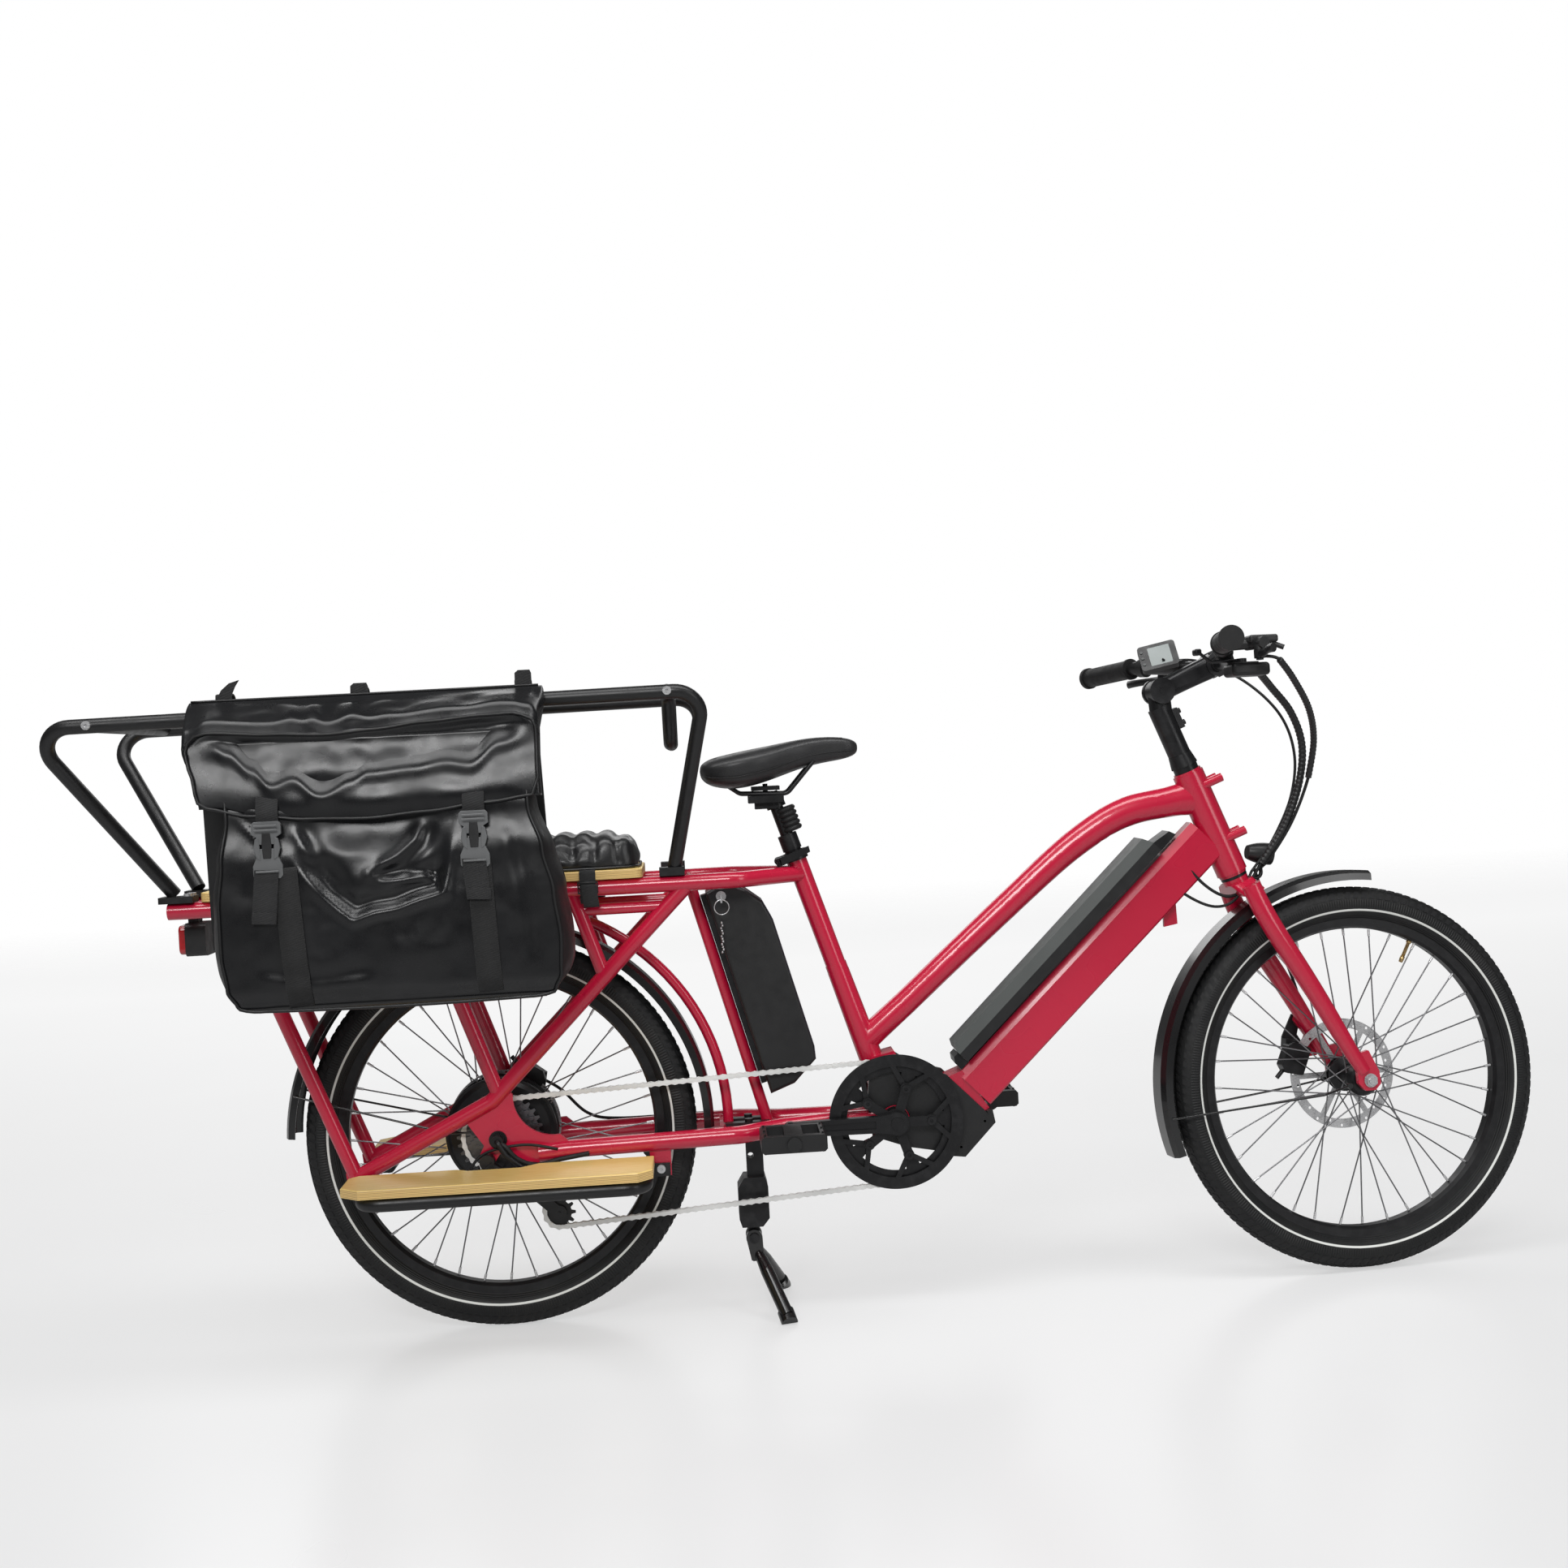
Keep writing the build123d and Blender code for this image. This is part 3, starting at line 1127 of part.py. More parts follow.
def fork_blade(side):
    faces = []
    for i, (x, z, radius) in enumerate(BLADE):
        before = BLADE[max(i - 1, 0)]
        after = BLADE[min(i + 1, len(BLADE) - 1)]
        along = Vector(after[0] - before[0], 0, after[1] - before[1])
        y = side * (FORK_Y - (7 if i == 0 else 0))
        faces.append(Plane(origin=(x, y, z), x_dir=(0, 1, 0), z_dir=along) * Ellipse(radius * 0.85, radius))
    return loft(faces)


def fork():
    """Steerer, crown, two blades, dropouts, brake tabs and the lamp's wire."""
    steerer = rod(head_point(-46), head_point(HEAD_LENGTH + 20), STEERER_R, 11.5)
    seat = rod(head_point(HEAD_LENGTH + 5.1), head_point(HEAD_LENGTH + 14), 21, 11.5)
    crown = loft([Plane(origin=head_point(HEAD_LENGTH + 12), x_dir=(0, 1, 0), z_dir=-HEAD_UP)
                  * RectangleRounded(66, 40, 14),
                  Plane(origin=head_point(HEAD_LENGTH + 32, 3), x_dir=(0, 1, 0), z_dir=-HEAD_UP)
                  * RectangleRounded(122, 36, 15)])
    body = steerer + seat + crown
    for side in (-1, 1):
        body += fork_blade(side)
        y = side * FORK_Y
        end = plate([(1358, 352), (1380, 356), (1396, 322), (1398, 302), (1388, 292), (1371, 292), (1360, 304)],
                    y - 4.5, y + 4.5)
        body += end
        body -= cross_rod(FRONT_AXLE[0], FRONT_AXLE[2], y - 20, y + 20, FRONT_AXLE_R + 0.1)
    body += plate([(1352, 352), (1348, 338), (1322, 336), (1317, 346), (1329, 372), (1311, 398), (1315, 411),
                   (1334, 408)], CALIPER_TAB_Y - 6, CALIPER_TAB_Y)
    tyre_room = Pos(*FRONT_AXLE) * cross_rod(0, 0, -38, 38, FENDER_R + 6)
    body -= tyre_room - box_between((1100, -50, 560), (1300, 50, 700))
    clear = Pos(*FRONT_AXLE) * cross_rod(0, 0, -36, 36, FENDER_R + 5)
    return body - clear


def front_axle():
    axle = cross_rod(0, 0, -62.5, 62.5, FRONT_AXLE_R)
    axle += cross_rod(0, 0, -50.3, -44.2, 10) + cross_rod(0, 0, 42.2, 50.3, 10)
    parts = [axle]
    for side in (-1, 1):
        nut = extrude(Plane(origin=(0, side * 60.2, 0), z_dir=(0, side, 0)) * RegularPolygon(9.5, 6), amount=7)
        nut += cross_rod(0, 0, side * 60.2, side * 61.6, 11)
        cap = cross_rod(0, 0, side * 67.2, side * 69, 6)
        parts.append(nut + cap - cross_rod(0, 0, side * 59, side * 64, FRONT_AXLE_R + RUNNING))
    return at_front(group(*parts))


def front_caliper():
    """Brake body and its two bolts on the left blade."""
    body = caliper(40.0, 160)
    outer = CALIPER_TAB_Y + 4.2
    arm = plate([(1332, 342), (1324, 337), (1300, 348), (1290, 356), (1292, 372), (1311, 408), (1327, 406),
                 (1318, 374), (1330, 354)], CALIPER_TAB_Y + 0.2, outer)
    stand = box_between((1290, 50, 354), (1311, CALIPER_TAB_Y + 0.3, 370))
    bolts = [cross_rod(x, z, outer + 0.1, outer + 5, 5) for x, z in CALIPER_BOLTS]
    return group(at_front(body) + arm + stand, *bolts)


def stem_post():
    """Conical cover and spacers, the post clamped on the steerer, and the pivot boss."""
    cover = loft([Plane(origin=head_point(-9.2), z_dir=HEAD_UP) * Circle(22),
                  Plane(origin=head_point(-30), z_dir=HEAD_UP) * Circle(18.5)])
    cover -= rod(head_point(-5), head_point(-60), STEERER_R + RUNNING)
    post = rod(head_point(-30.3), head_point(-112), 18.2)
    pivot = Vector(STEM_PIVOT[0], 0, STEM_PIVOT[1])
    post += rod(head_point(-105, 1), pivot, 18.0)
    post += cross_rod(pivot.X, pivot.Z, -13.5, 13.5, 19.5)
    post += Plane(origin=head_point(-84, 17), x_dir=(0, 1, 0), z_dir=HEAD_UP) * Box(20, 16, 34)
    post -= rod(head_point(-20), head_point(-48), STEERER_R + RUNNING)
    for side in (-1, 1):
        post -= cross_rod(pivot.X, pivot.Z, side * 13.6, side * 30, 23)
    post -= cross_rod(pivot.X, pivot.Z, -30, 30, 5.0 + RUNNING)
    bolts = []
    for below in (-94, -74):
        bolts.append(rod(head_point(below, 25.2), head_point(below, 31), 4.4))
    pin = cross_rod(pivot.X, pivot.Z, -20.5, 20.5, 5.0)
    return group(cover, post, pin, *bolts)


save_steered("fork", fork())
save_steered("front_axle", front_axle())
save_steered("front_caliper", front_caliper())
save_steered("stem_post", stem_post())


# ---------------------------------------------------------------- cockpit
CLAMP_PT = Vector(BAR_CLAMP[0], 0, BAR_CLAMP[1])
PIVOT_PT = Vector(STEM_PIVOT[0], 0, STEM_PIVOT[1])
ARM_DIR = (CLAMP_PT - PIVOT_PT).normalized()
ARM_UP = Vector(-ARM_DIR.Z, 0, ARM_DIR.X)
BAR_CLAMP_R = 12.7
BAR_CORNERS = ((BAR_CLAMP[0], 52.0, BAR_CLAMP[1]), (1122.0, 190.0, 1005.0), GRIP_END)


def arm_point(along, up=0.0, side=0.0):
    """Point measured from the stem pivot towards the bar clamp."""
    return PIVOT_PT + ARM_DIR * along + ARM_UP * up + Vector(0, side, 0)


def bar_point(y):
    """Centre of the bar at a side distance between the clamp and the grip."""
    (x0, y0, z0), (x1, y1, z1) = BAR_CORNERS[0], BAR_CORNERS[1]
    part = (abs(y) - y0) / (y1 - y0)
    return Vector(x0 + (x1 - x0) * part, y, z0 + (z1 - z0) * part)


def bar_direction(side):
    """Outward direction of the bar beside the grip."""
    (x0, y0, z0), (x1, y1, z1) = BAR_CORNERS[0], BAR_CORNERS[1]
    return Vector(x1 - x0, side * (y1 - y0), z1 - z0).normalized()


def bar_ring(y, half_width, outer):
    middle = bar_point(y)
    along = bar_direction(1 if y > 0 else -1) * half_width
    return rod(middle - along, middle + along, outer, BAR_R + RUNNING)


def stem_arm():
    """Forked arm from the pivot to the two bolt bar clamp."""
    sections = []
    for along, wide, high in ((16, 40, 34), (50, 31, 35), (92, 40, 37)):
        sections.append(Plane(origin=arm_point(along), x_dir=(0, 1, 0), z_dir=ARM_DIR)
                        * RectangleRounded(wide, high, 10))
    body = loft(sections)
    body -= cross_rod(PIVOT_PT.X, PIVOT_PT.Z, -13.9, 13.9, 20.5)
    for side in (-1, 1):
        body += cross_rod(PIVOT_PT.X, PIVOT_PT.Z, side * 13.9, side * 20, 21)
    body += cross_rod(CLAMP_PT.X, CLAMP_PT.Z, -21, 21, 19.5)
    for up in (-16, 16):
        for y in (-12, 12):
            body += rod(arm_point(100, up, y), arm_point(124, up, y), 5.2)
    body -= cross_rod(CLAMP_PT.X, CLAMP_PT.Z, -30, 30, BAR_CLAMP_R + RUNNING)
    return body - cross_rod(PIVOT_PT.X, PIVOT_PT.Z, -30, 30, 5.0 + RUNNING)


def handlebar():
    """Swept bar with a thicker middle."""
    half = [BAR_CORNERS[2], BAR_CORNERS[1], BAR_CORNERS[0]]
    path = [(x, -y, z) for x, y, z in half] + list(reversed(half))
    return bent_rod(path, BAR_R, 60) + cross_rod(CLAMP_PT.X, CLAMP_PT.Z, -27, 27, BAR_CLAMP_R)


def grip(side):
    end = Vector(GRIP_END[0], side * GRIP_END[1], GRIP_END[2])
    inner = Vector(BAR_CORNERS[1][0], side * BAR_CORNERS[1][1], BAR_CORNERS[1][2])
    along = (inner - end).normalized()
    sleeve = rod(end - along * 0.1, end + along * 124, 16.4, BAR_R + RUNNING)
    sleeve += rod(end - along * 4, end - along * 0.1, 18.6)
    sleeve += rod(end - along * 0.2, end + along * 3, 18.6, BAR_R + RUNNING)
    sleeve += rod(end + along * 119, end + along * 124, 18.2, BAR_R + RUNNING)
    return sleeve


def brake_pivot(side):
    return Vector(1176, side * 203, 985)


def brake_master(side):
    """Bar clamp, cylinder, fluid reservoir and the two ears of the lever pivot."""
    ring = bar_ring(side * 171, 7, 15.5)
    near = bar_point(side * 171)
    body = rod((near.X + 12.5, near.Y, near.Z + 1), (1196, side * 186, 1005), 8.5)
    body += rod((1172, side * 168, 1004), (1180, side * 214, 1002.5), 9.2)
    tank = box_between((1164, min(side * 164, side * 200), 1004), (1210, max(side * 164, side * 200), 1016))
    body += fillet(tank.edges(), 4)
    body += rod((1200, side * 190, 1004), (1218, side * 198, 995), 4)
    hub = brake_pivot(side)
    body += rod((hub.X, hub.Y, 992.3), (hub.X, hub.Y, 1000), 8)
    pin = rod((hub.X, hub.Y, 978), (hub.X, hub.Y, 993), 3.0)
    head = rod((hub.X, hub.Y, 977), (hub.X, hub.Y, 979.4), 5.5)
    return (ring + body + pin + head) - rod(near - bar_direction(side) * 20, near + bar_direction(side) * 14,
                                            BAR_R + RUNNING)


def brake_lever(side):
    """Blade that turns on the pivot pin and reaches out in front of the grip."""
    hub = brake_pivot(side)
    body = rod((hub.X, hub.Y, 979.7), (hub.X, hub.Y, 992.0), 8.5)
    stations = ((hub.X - 1, hub.Y + side * 4, 9, 12), (hub.X - 6, hub.Y + side * 34, 7.5, 12),
                (hub.X - 22, hub.Y + side * 84, 7, 13), (hub.X - 24, hub.Y + side * 104, 9, 14))
    faces = []
    for x, y, thick, high in stations:
        faces.append(Plane(origin=(x, y, 985.8), x_dir=(1, 0, 0), z_dir=(-0.2, side, 0)) * Ellipse(thick / 2, high / 2))
    body += loft(faces)
    return body - rod((hub.X, hub.Y, 975), (hub.X, hub.Y, 1000), 3.0 + RUNNING)


SHIFT_HUB = (1168.0, -152.0)


def shifter():
    """Bar clamp and the pod under the bar that holds the ratchet."""
    ring = bar_ring(-131, 6, 15)
    pod = box_between((1146, -170, 957), (1208, -128, 977))
    pod = fillet(pod.edges(), 6)
    neck_at = bar_point(-131)
    neck = rod((neck_at.X + 8, -133, neck_at.Z - 8), (1162, -136, 966), 6)
    window = box_between((1150, -166, 974), (1190, -158, 978.5))
    pin = rod((*SHIFT_HUB, 970), (*SHIFT_HUB, 985), 3.0)
    gear_cable = rod((1205, -140, 967), (1216, -136, 966), 4)
    body = ring + pod + neck + window + pin + gear_cable
    return body - rod(neck_at - bar_direction(-1) * 12, neck_at + bar_direction(-1) * 12, BAR_R + RUNNING)


def shift_lever():
    """Thumb lever that swings on the pod's pin and comes up behind the bar."""
    body = rod((*SHIFT_HUB, 978.8), (*SHIFT_HUB, 984.5), 8)
    body += bent_rod([(1163, -152, 981.7), (1118, -152, 981.7), (1101, -150, 996)], 2.6, 8)
    pad = box_between((1092, -158, 992), (1103, -143, 1002))
    body += fillet(pad.edges(), 3)
    return body - rod((*SHIFT_HUB, 960), (*SHIFT_HUB, 990), 3.0 + RUNNING)


DISPLAY_PT = Vector(1116, 60, 1011)
DISPLAY_FACE = Vector(-0.35, -0.80, 0.48).normalized()
DISPLAY_RIGHT = (Vector(1, 0, 0) - DISPLAY_FACE * DISPLAY_FACE.X).normalized()
DISPLAY = Plane(origin=DISPLAY_PT, x_dir=DISPLAY_RIGHT, z_dir=DISPLAY_FACE)
BUTTON_X = -25.5
BUTTON_R = 2.4
BUTTON_ROWS = (12.0, 0.0, -12.0)


def display():
    """Screen housing on an arm from its own bar clamp; the screen is a recess with a pane in it."""
    case = extrude(DISPLAY * Pos(0, 0, -6) * RectangleRounded(62, 48, 6), amount=12)
    recess = extrude(DISPLAY * Pos(3, 0, 5.0) * RectangleRounded(36, 36, 2), amount=2)
    case -= recess
    for row in BUTTON_ROWS:
        case -= extrude(DISPLAY * Pos(BUTTON_X, row, 3.0) * Circle(BUTTON_R + RUNNING), amount=5)
    pane = extrude(DISPLAY * Pos(3, 0, 5.05) * RectangleRounded(35.8, 35.8, 1.9), amount=0.8)
    ring = bar_ring(92, 6, 14.5)
    at = bar_point(92)
    back = DISPLAY_PT - DISPLAY_FACE * 5
    arm = rod(back, (at.X - 10, at.Y - 3, at.Z + 4), 5)
    body = case + ring + arm
    body -= rod(at - bar_direction(1) * 12, at + bar_direction(1) * 12, BAR_R + RUNNING)
    return group(body, pane)


def display_button(row):
    return extrude(DISPLAY * Pos(BUTTON_X, row, 4.0) * Circle(BUTTON_R), amount=3.2)


save_steered("stem_arm", stem_arm())
save_steered("handlebar", handlebar())
save_steered("grips", group(grip(-1), grip(1)))
save_steered("bar_controls", group(brake_master(-1), brake_master(1), shifter()))
save_steered("display", display())
for button_name, button_row in zip(("up", "mode", "down"), BUTTON_ROWS):
    save_steered("display_button_" + button_name, display_button(button_row))
save_steered("brake_lever_right", brake_lever(-1))
save_steered("brake_lever_left", brake_lever(1))
save_steered("shift_lever", shift_lever())


# ---------------------------------------------------------------- lamps
def headlight():
    """Lamp on a bent wire from the crown."""
    wire = bent_rod([(1224, 0, 640), (1244, 0, 641), (1243, 0, 672)], 3.2, 9)
    back, front = Vector(1222, 0, 683), Vector(1262, 0, 677)
    along = (front - back).normalized()
    shell = loft([Plane(origin=back, z_dir=along) * Circle(11), Plane(origin=back + along * 22, z_dir=along) * Circle(17),
                  Plane(origin=front, z_dir=along) * Circle(17.5)])
    shell -= rod(front - along * 3, front + along * 2, 15)
    lens = rod(front - along * 2.9, front - along * 0.6, 14.9)
    return group(shell + wire, lens)


def rear_light():
    """Lamp housing on a tab under the rear cross tube, with a round red lens behind."""
    shell = fillet(box_between((-472, -30, 615), (-440, 30, 667)).edges().filter_by(Axis.X), 10)
    tab = box_between((-470, -12, 660), (-454, 12, 680.6))
    lens = extrude(Plane(origin=(-472.1, 0, 641), x_dir=(0, 1, 0), z_dir=(-1, 0, 0))
                   * RectangleRounded(54, 46, 9), amount=11)
    return group(shell + tab, fillet(lens.edges().group_by(Axis.X)[0], 4))


save_steered("headlight", headlight())
save("rear_light", rear_light())


# ---------------------------------------------------------------- bag
BAG_LEVELS = ((562, -320, 126, -228, -325, 22), (590, -328, 136, -220, -331, 26), (680, -344, 146, -215, -334, 26),
              (770, -350, 136, -215, -331, 24), (850, -356, 116, -215, -314, 20), (934, -366, 102, -215, -296, 16))
HOOK_X = (-334.0, -151.0, 88.0)
BUCKLE_X = (-276.0, 19.0)
LID_BACK = (-217.0, 1000.0)    # Y, Z of the seam the lid swings on


def bag_body(inset):
    faces = []
    for i, (z, x0, x1, y0, y1, corner) in enumerate(BAG_LEVELS):
        lift = inset if i == 0 else 0
        plane = Plane(origin=((x0 + x1) / 2, (y0 + y1) / 2, z + lift), x_dir=(1, 0, 0), z_dir=(0, 0, 1))
        faces.append(plane * RectangleRounded(x1 - x0 - 2 * inset, y0 - y1 - 2 * inset, corner - inset))
    return loft(faces)


def pannier_bag():
    """Open topped bag with a stiff back panel and three hooks over the right side rail."""
    body = bag_body(0) - bag_body(3.0)
    body += box_between((-380, -218.2, 700), (106, -215, 992))
    for x in HOOK_X:
        hook = box_between((x - 13, -215.1, 940), (x + 13, -211.4, 1014))
        hook += box_between((x - 13, -215.1, 995.6), (x + 13, -186, 1014))
        hook += box_between((x - 13, -188.6, 976), (x + 13, -186, 1000))
        body += hook
    return body


def bag_lid():
    """Lid sheet from the back seam over the top and down the front, with two strap buckles."""
    outer = [(LID_BACK[0] - 1.5, 1003), (-232, 1001), (-288, 966), (-301, 948), (-321, 846)]
    inner = [(-318, 846.6), (-298, 947), (-285, 962), (-231, 997), (LID_BACK[0] - 1.5, 999)]
    sheet = make_face(Polyline(*[(-400, y, z) for y, z in outer + inner], close=True))
    sheet = extrude(sheet, amount=530, dir=(1, 0, 0))
    front = plate([(-398, 1004), (117, 1004), (108, 945), (122, 840), (-360, 840), (-376, 945)], -340, -200)
    parts = [sheet & front]
    for x in BUCKLE_X:
        strap = make_face(Polyline((x - 12, -321.5, 880), (x - 12, -325, 848), (x - 12, -338.5, 800),
                                   (x - 12, -340.2, 690), (x - 12, -338.4, 690), (x - 12, -336.7, 800),
                                   (x - 12, -323.2, 848), (x - 12, -319.9, 880), close=True))
        strap = extrude(strap, amount=24, dir=(1, 0, 0))
        buckle = box_between((x - 22, -350, 744), (x + 22, -336.2, 806))
        buckle = fillet(buckle.edges().filter_by(Axis.Y), 7)
        parts.append(strap + buckle)
    return parts[0] + parts[1] + parts[2]


save("pannier_bag", pannier_bag())
save("bag_lid", bag_lid())


# ---------------------------------------------------------------- button head bolts
def dome(origin, direction):
    """Button head with a hexagon socket."""
    base = Plane(origin=origin, z_dir=direction)
    head = extrude(base * Circle(6.5), amount=4)
    return head - extrude(base * Pos(0, 0, 2) * RegularPolygon(2.6, 6), amount=4)


def button_bolts():
    """Heads on the side rails' cross bars, the rails' feet and the board supports."""
    heads = []
    for side in (-1, 1):
        for x, z in ((300, 985), (-546, HOOP_Z - 6.7)):
            heads.append(dome((x, side * (HOOP_Y + HOOP_R + 0.1), z), (0, side, 0)))
        for y in (63, 85):
            heads.append(dome((-448, side * y, 713.1), (0, 0, 1)))
        for x in (250, -219):
            heads.append(dome((x, side * 80.1, 248), (0, side, 0)))
    return group(*heads)


save("button_bolts", button_bolts())
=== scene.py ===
import math
import random

import bmesh
import bpy
from mathutils import Matrix, Vector, noise


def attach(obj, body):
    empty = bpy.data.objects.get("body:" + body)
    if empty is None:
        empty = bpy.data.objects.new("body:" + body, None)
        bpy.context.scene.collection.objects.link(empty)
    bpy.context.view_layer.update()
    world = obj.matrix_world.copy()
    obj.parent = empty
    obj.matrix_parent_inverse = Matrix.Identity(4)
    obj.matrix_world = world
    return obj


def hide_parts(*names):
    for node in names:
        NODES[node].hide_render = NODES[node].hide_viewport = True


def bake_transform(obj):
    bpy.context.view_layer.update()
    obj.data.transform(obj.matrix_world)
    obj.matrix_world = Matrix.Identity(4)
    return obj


# Cargo bicycle: looks, soft goods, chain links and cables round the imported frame.
# Lengths in this file are millimetres and become metres where a mesh is made.

MM = 0.001
random.seed(7)
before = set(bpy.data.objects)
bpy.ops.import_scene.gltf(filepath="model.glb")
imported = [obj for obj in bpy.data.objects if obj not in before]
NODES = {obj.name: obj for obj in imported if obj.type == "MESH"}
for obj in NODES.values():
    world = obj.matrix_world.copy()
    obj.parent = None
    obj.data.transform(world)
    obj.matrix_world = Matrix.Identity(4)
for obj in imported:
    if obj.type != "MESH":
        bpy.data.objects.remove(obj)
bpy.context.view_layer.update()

HEAD_ANGLE = math.radians(68.6)
HEAD_UP = Vector((-math.cos(HEAD_ANGLE), 0, math.sin(HEAD_ANGLE)))
HEAD_TOP = Vector((1128.5, 0, 819.6))
STEER = (Matrix.Translation(HEAD_TOP) @ Matrix.Rotation(math.radians(7), 4, HEAD_UP)
         @ Matrix.Translation(-HEAD_TOP))
REAR_HUB = Vector((0, 0, 308))
FRONT_HUB = Vector((1380, 0, 308))
DISPLAY_AT = Vector((1116, 60, 1011))
DISPLAY_FACE = Vector((-0.35, -0.80, 0.48)).normalized()


# ---------------------------------------------------------------- materials
class Look:
    """A node material being built; textures use the row frame's own coordinates."""

    def __init__(self, name, color, rough, metal=0.0, **inputs):
        self.mat = bpy.data.materials.new(name)
        self.mat.use_nodes = True
        self.tree = self.mat.node_tree
        self.shader = self.tree.nodes["Principled BSDF"]
        self.coord = self.add("ShaderNodeTexCoord").outputs["Object"]
        self.put("Base Color", (*color, 1))
        self.put("Roughness", rough)
        self.put("Metallic", metal)
        for key, value in inputs.items():
            self.put(key.replace("_", " "), value)
        self.height = None

    def add(self, kind, **values):
        node = self.tree.nodes.new(kind)
        for key, value in values.items():
            setattr(node, key, value)
        return node

    def feed(self, socket, value):
        if isinstance(value, bpy.types.NodeSocket):
            self.tree.links.new(value, socket)
        else:
            socket.default_value = value

    def put(self, key, value):
        self.feed(self.shader.inputs[key], value)

    def mapped(self, scale=(1, 1, 1), place=(0, 0, 0), turn=(0, 0, 0)):
        node = self.add("ShaderNodeMapping")
        self.feed(node.inputs["Vector"], self.coord)
        node.inputs["Scale"].default_value = scale
        node.inputs["Location"].default_value = place
        node.inputs["Rotation"].default_value = turn
        return node.outputs["Vector"]

    def noise(self, scale, detail=3.0, stretch=(1, 1, 1), where=None):
        node = self.add("ShaderNodeTexNoise")
        self.feed(node.inputs["Vector"], where if where else self.mapped(stretch))
        node.inputs["Scale"].default_value = scale
        node.inputs["Detail"].default_value = detail
        return node.outputs["Fac"]

    def cells(self, scale, stretch=(1, 1, 1), feature="F1"):
        node = self.add("ShaderNodeTexVoronoi", feature=feature)
        self.feed(node.inputs["Vector"], self.mapped(stretch))
        node.inputs["Scale"].default_value = scale
        return node.outputs["Distance"]

    def calc(self, kind, a, b=0.0):
        node = self.add("ShaderNodeMath", operation=kind)
        self.feed(node.inputs[0], a)
        self.feed(node.inputs[1], b)
        return node.outputs[0]

    def span(self, value, low, high, out_low=0.0, out_high=1.0):
        node = self.add("ShaderNodeMapRange")
        self.feed(node.inputs["Value"], value)
        for key, number in (("From Min", low), ("From Max", high), ("To Min", out_low), ("To Max", out_high)):
            self.feed(node.inputs[key], number)
        return node.outputs["Result"]

    def blend(self, share, a, b):
        node = self.add("ShaderNodeMix", data_type="RGBA")
        self.feed(node.inputs[0], share)
        self.feed(node.inputs[6], a if isinstance(a, bpy.types.NodeSocket) else (*a, 1))
        self.feed(node.inputs[7], b if isinstance(b, bpy.types.NodeSocket) else (*b, 1))
        return node.outputs[2]

    def axes(self, where=None):
        node = self.add("ShaderNodeSeparateXYZ")
        self.feed(node.inputs[0], where if where else self.coord)
        return node.outputs

    def facing(self):
        node = self.add("ShaderNodeSeparateXYZ")
        self.feed(node.inputs[0], self.add("ShaderNodeNewGeometry").outputs["Normal"])
        return node.outputs

    def bump(self, height, distance, strength=1.0):
        """Relief in metres; several calls add up."""
        node = self.add("ShaderNodeBump")
        self.feed(node.inputs["Height"], height)
        node.inputs["Distance"].default_value = distance
        node.inputs["Strength"].default_value = strength
        if self.height:
            self.feed(node.inputs["Normal"], self.height)
        self.height = node.outputs["Normal"]
        self.put("Normal", self.height)

    def worn(self, color, amount=0.3):
        """Edges rubbed towards another colour."""
        edge = self.add("ShaderNodeNewGeometry").outputs["Pointiness"]
        share = self.calc("MULTIPLY", self.span(edge, 0.54, 0.64), self.span(self.noise(60), 0.45, 0.7, 0, amount))
        return share, color


def paint(name, color, dark, flake=0.0):
    look = Look(name, color, 0.30, Coat_Weight=0.7, Coat_Roughness=0.09, Specular_IOR_Level=0.45)
    patch = look.span(look.noise(3, 1), 0.3, 0.7)
    look.put("Base Color", look.blend(patch, color, dark))
    look.put("Roughness", look.span(look.noise(18, 1), 0.3, 0.7, 0.26, 0.30))
    look.bump(look.noise(300, 2), 0.00002, 0.3)
    if flake:
        look.put("Metallic", flake)
    return look.mat


def satin(name, color, rough, grain=900.0, depth=0.00005, metal=0.0, rub=None):
    look = Look(name, color, rough, metal)
    tone = look.span(look.noise(14), 0.3, 0.7)
    lighter = tuple(c * 1.12 + 0.001 for c in color)
    body = look.blend(tone, color, lighter)
    if rub:
        share, edge = look.worn(rub)
        body = look.blend(share, body, edge)
    look.put("Base Color", body)
    look.put("Roughness", look.span(look.noise(50), 0.3, 0.7, rough - 0.06, rough + 0.08))
    look.bump(look.noise(grain, 2), depth, 0.8)
    return look.mat


def brushed(name, color, rough, metal=1.0, stretch=(1, 1, 12)):
    look = Look(name, color, rough, metal)
    lines = look.noise(160, 4, stretch)
    look.put("Base Color", look.blend(look.span(look.noise(12), 0.3, 0.7), color, tuple(c * 0.8 for c in color)))
    look.put("Roughness", look.span(lines, 0.3, 0.7, rough - 0.08, rough + 0.12))
    look.bump(lines, 0.00004, 0.6)
    return look.mat


def rubber(name, color=(0.008, 0.008, 0.0085), rough=0.55):
    look = Look(name, color, rough, Specular_IOR_Level=0.35)
    dust = look.span(look.noise(22, 5), 0.45, 0.75)
    look.put("Base Color", look.blend(dust, color, (0.016, 0.0158, 0.0155)))
    look.put("Roughness", look.span(look.noise(70), 0.3, 0.7, rough - 0.1, rough + 0.12))
    look.bump(look.noise(1400, 2), 0.00006)
    return look.mat


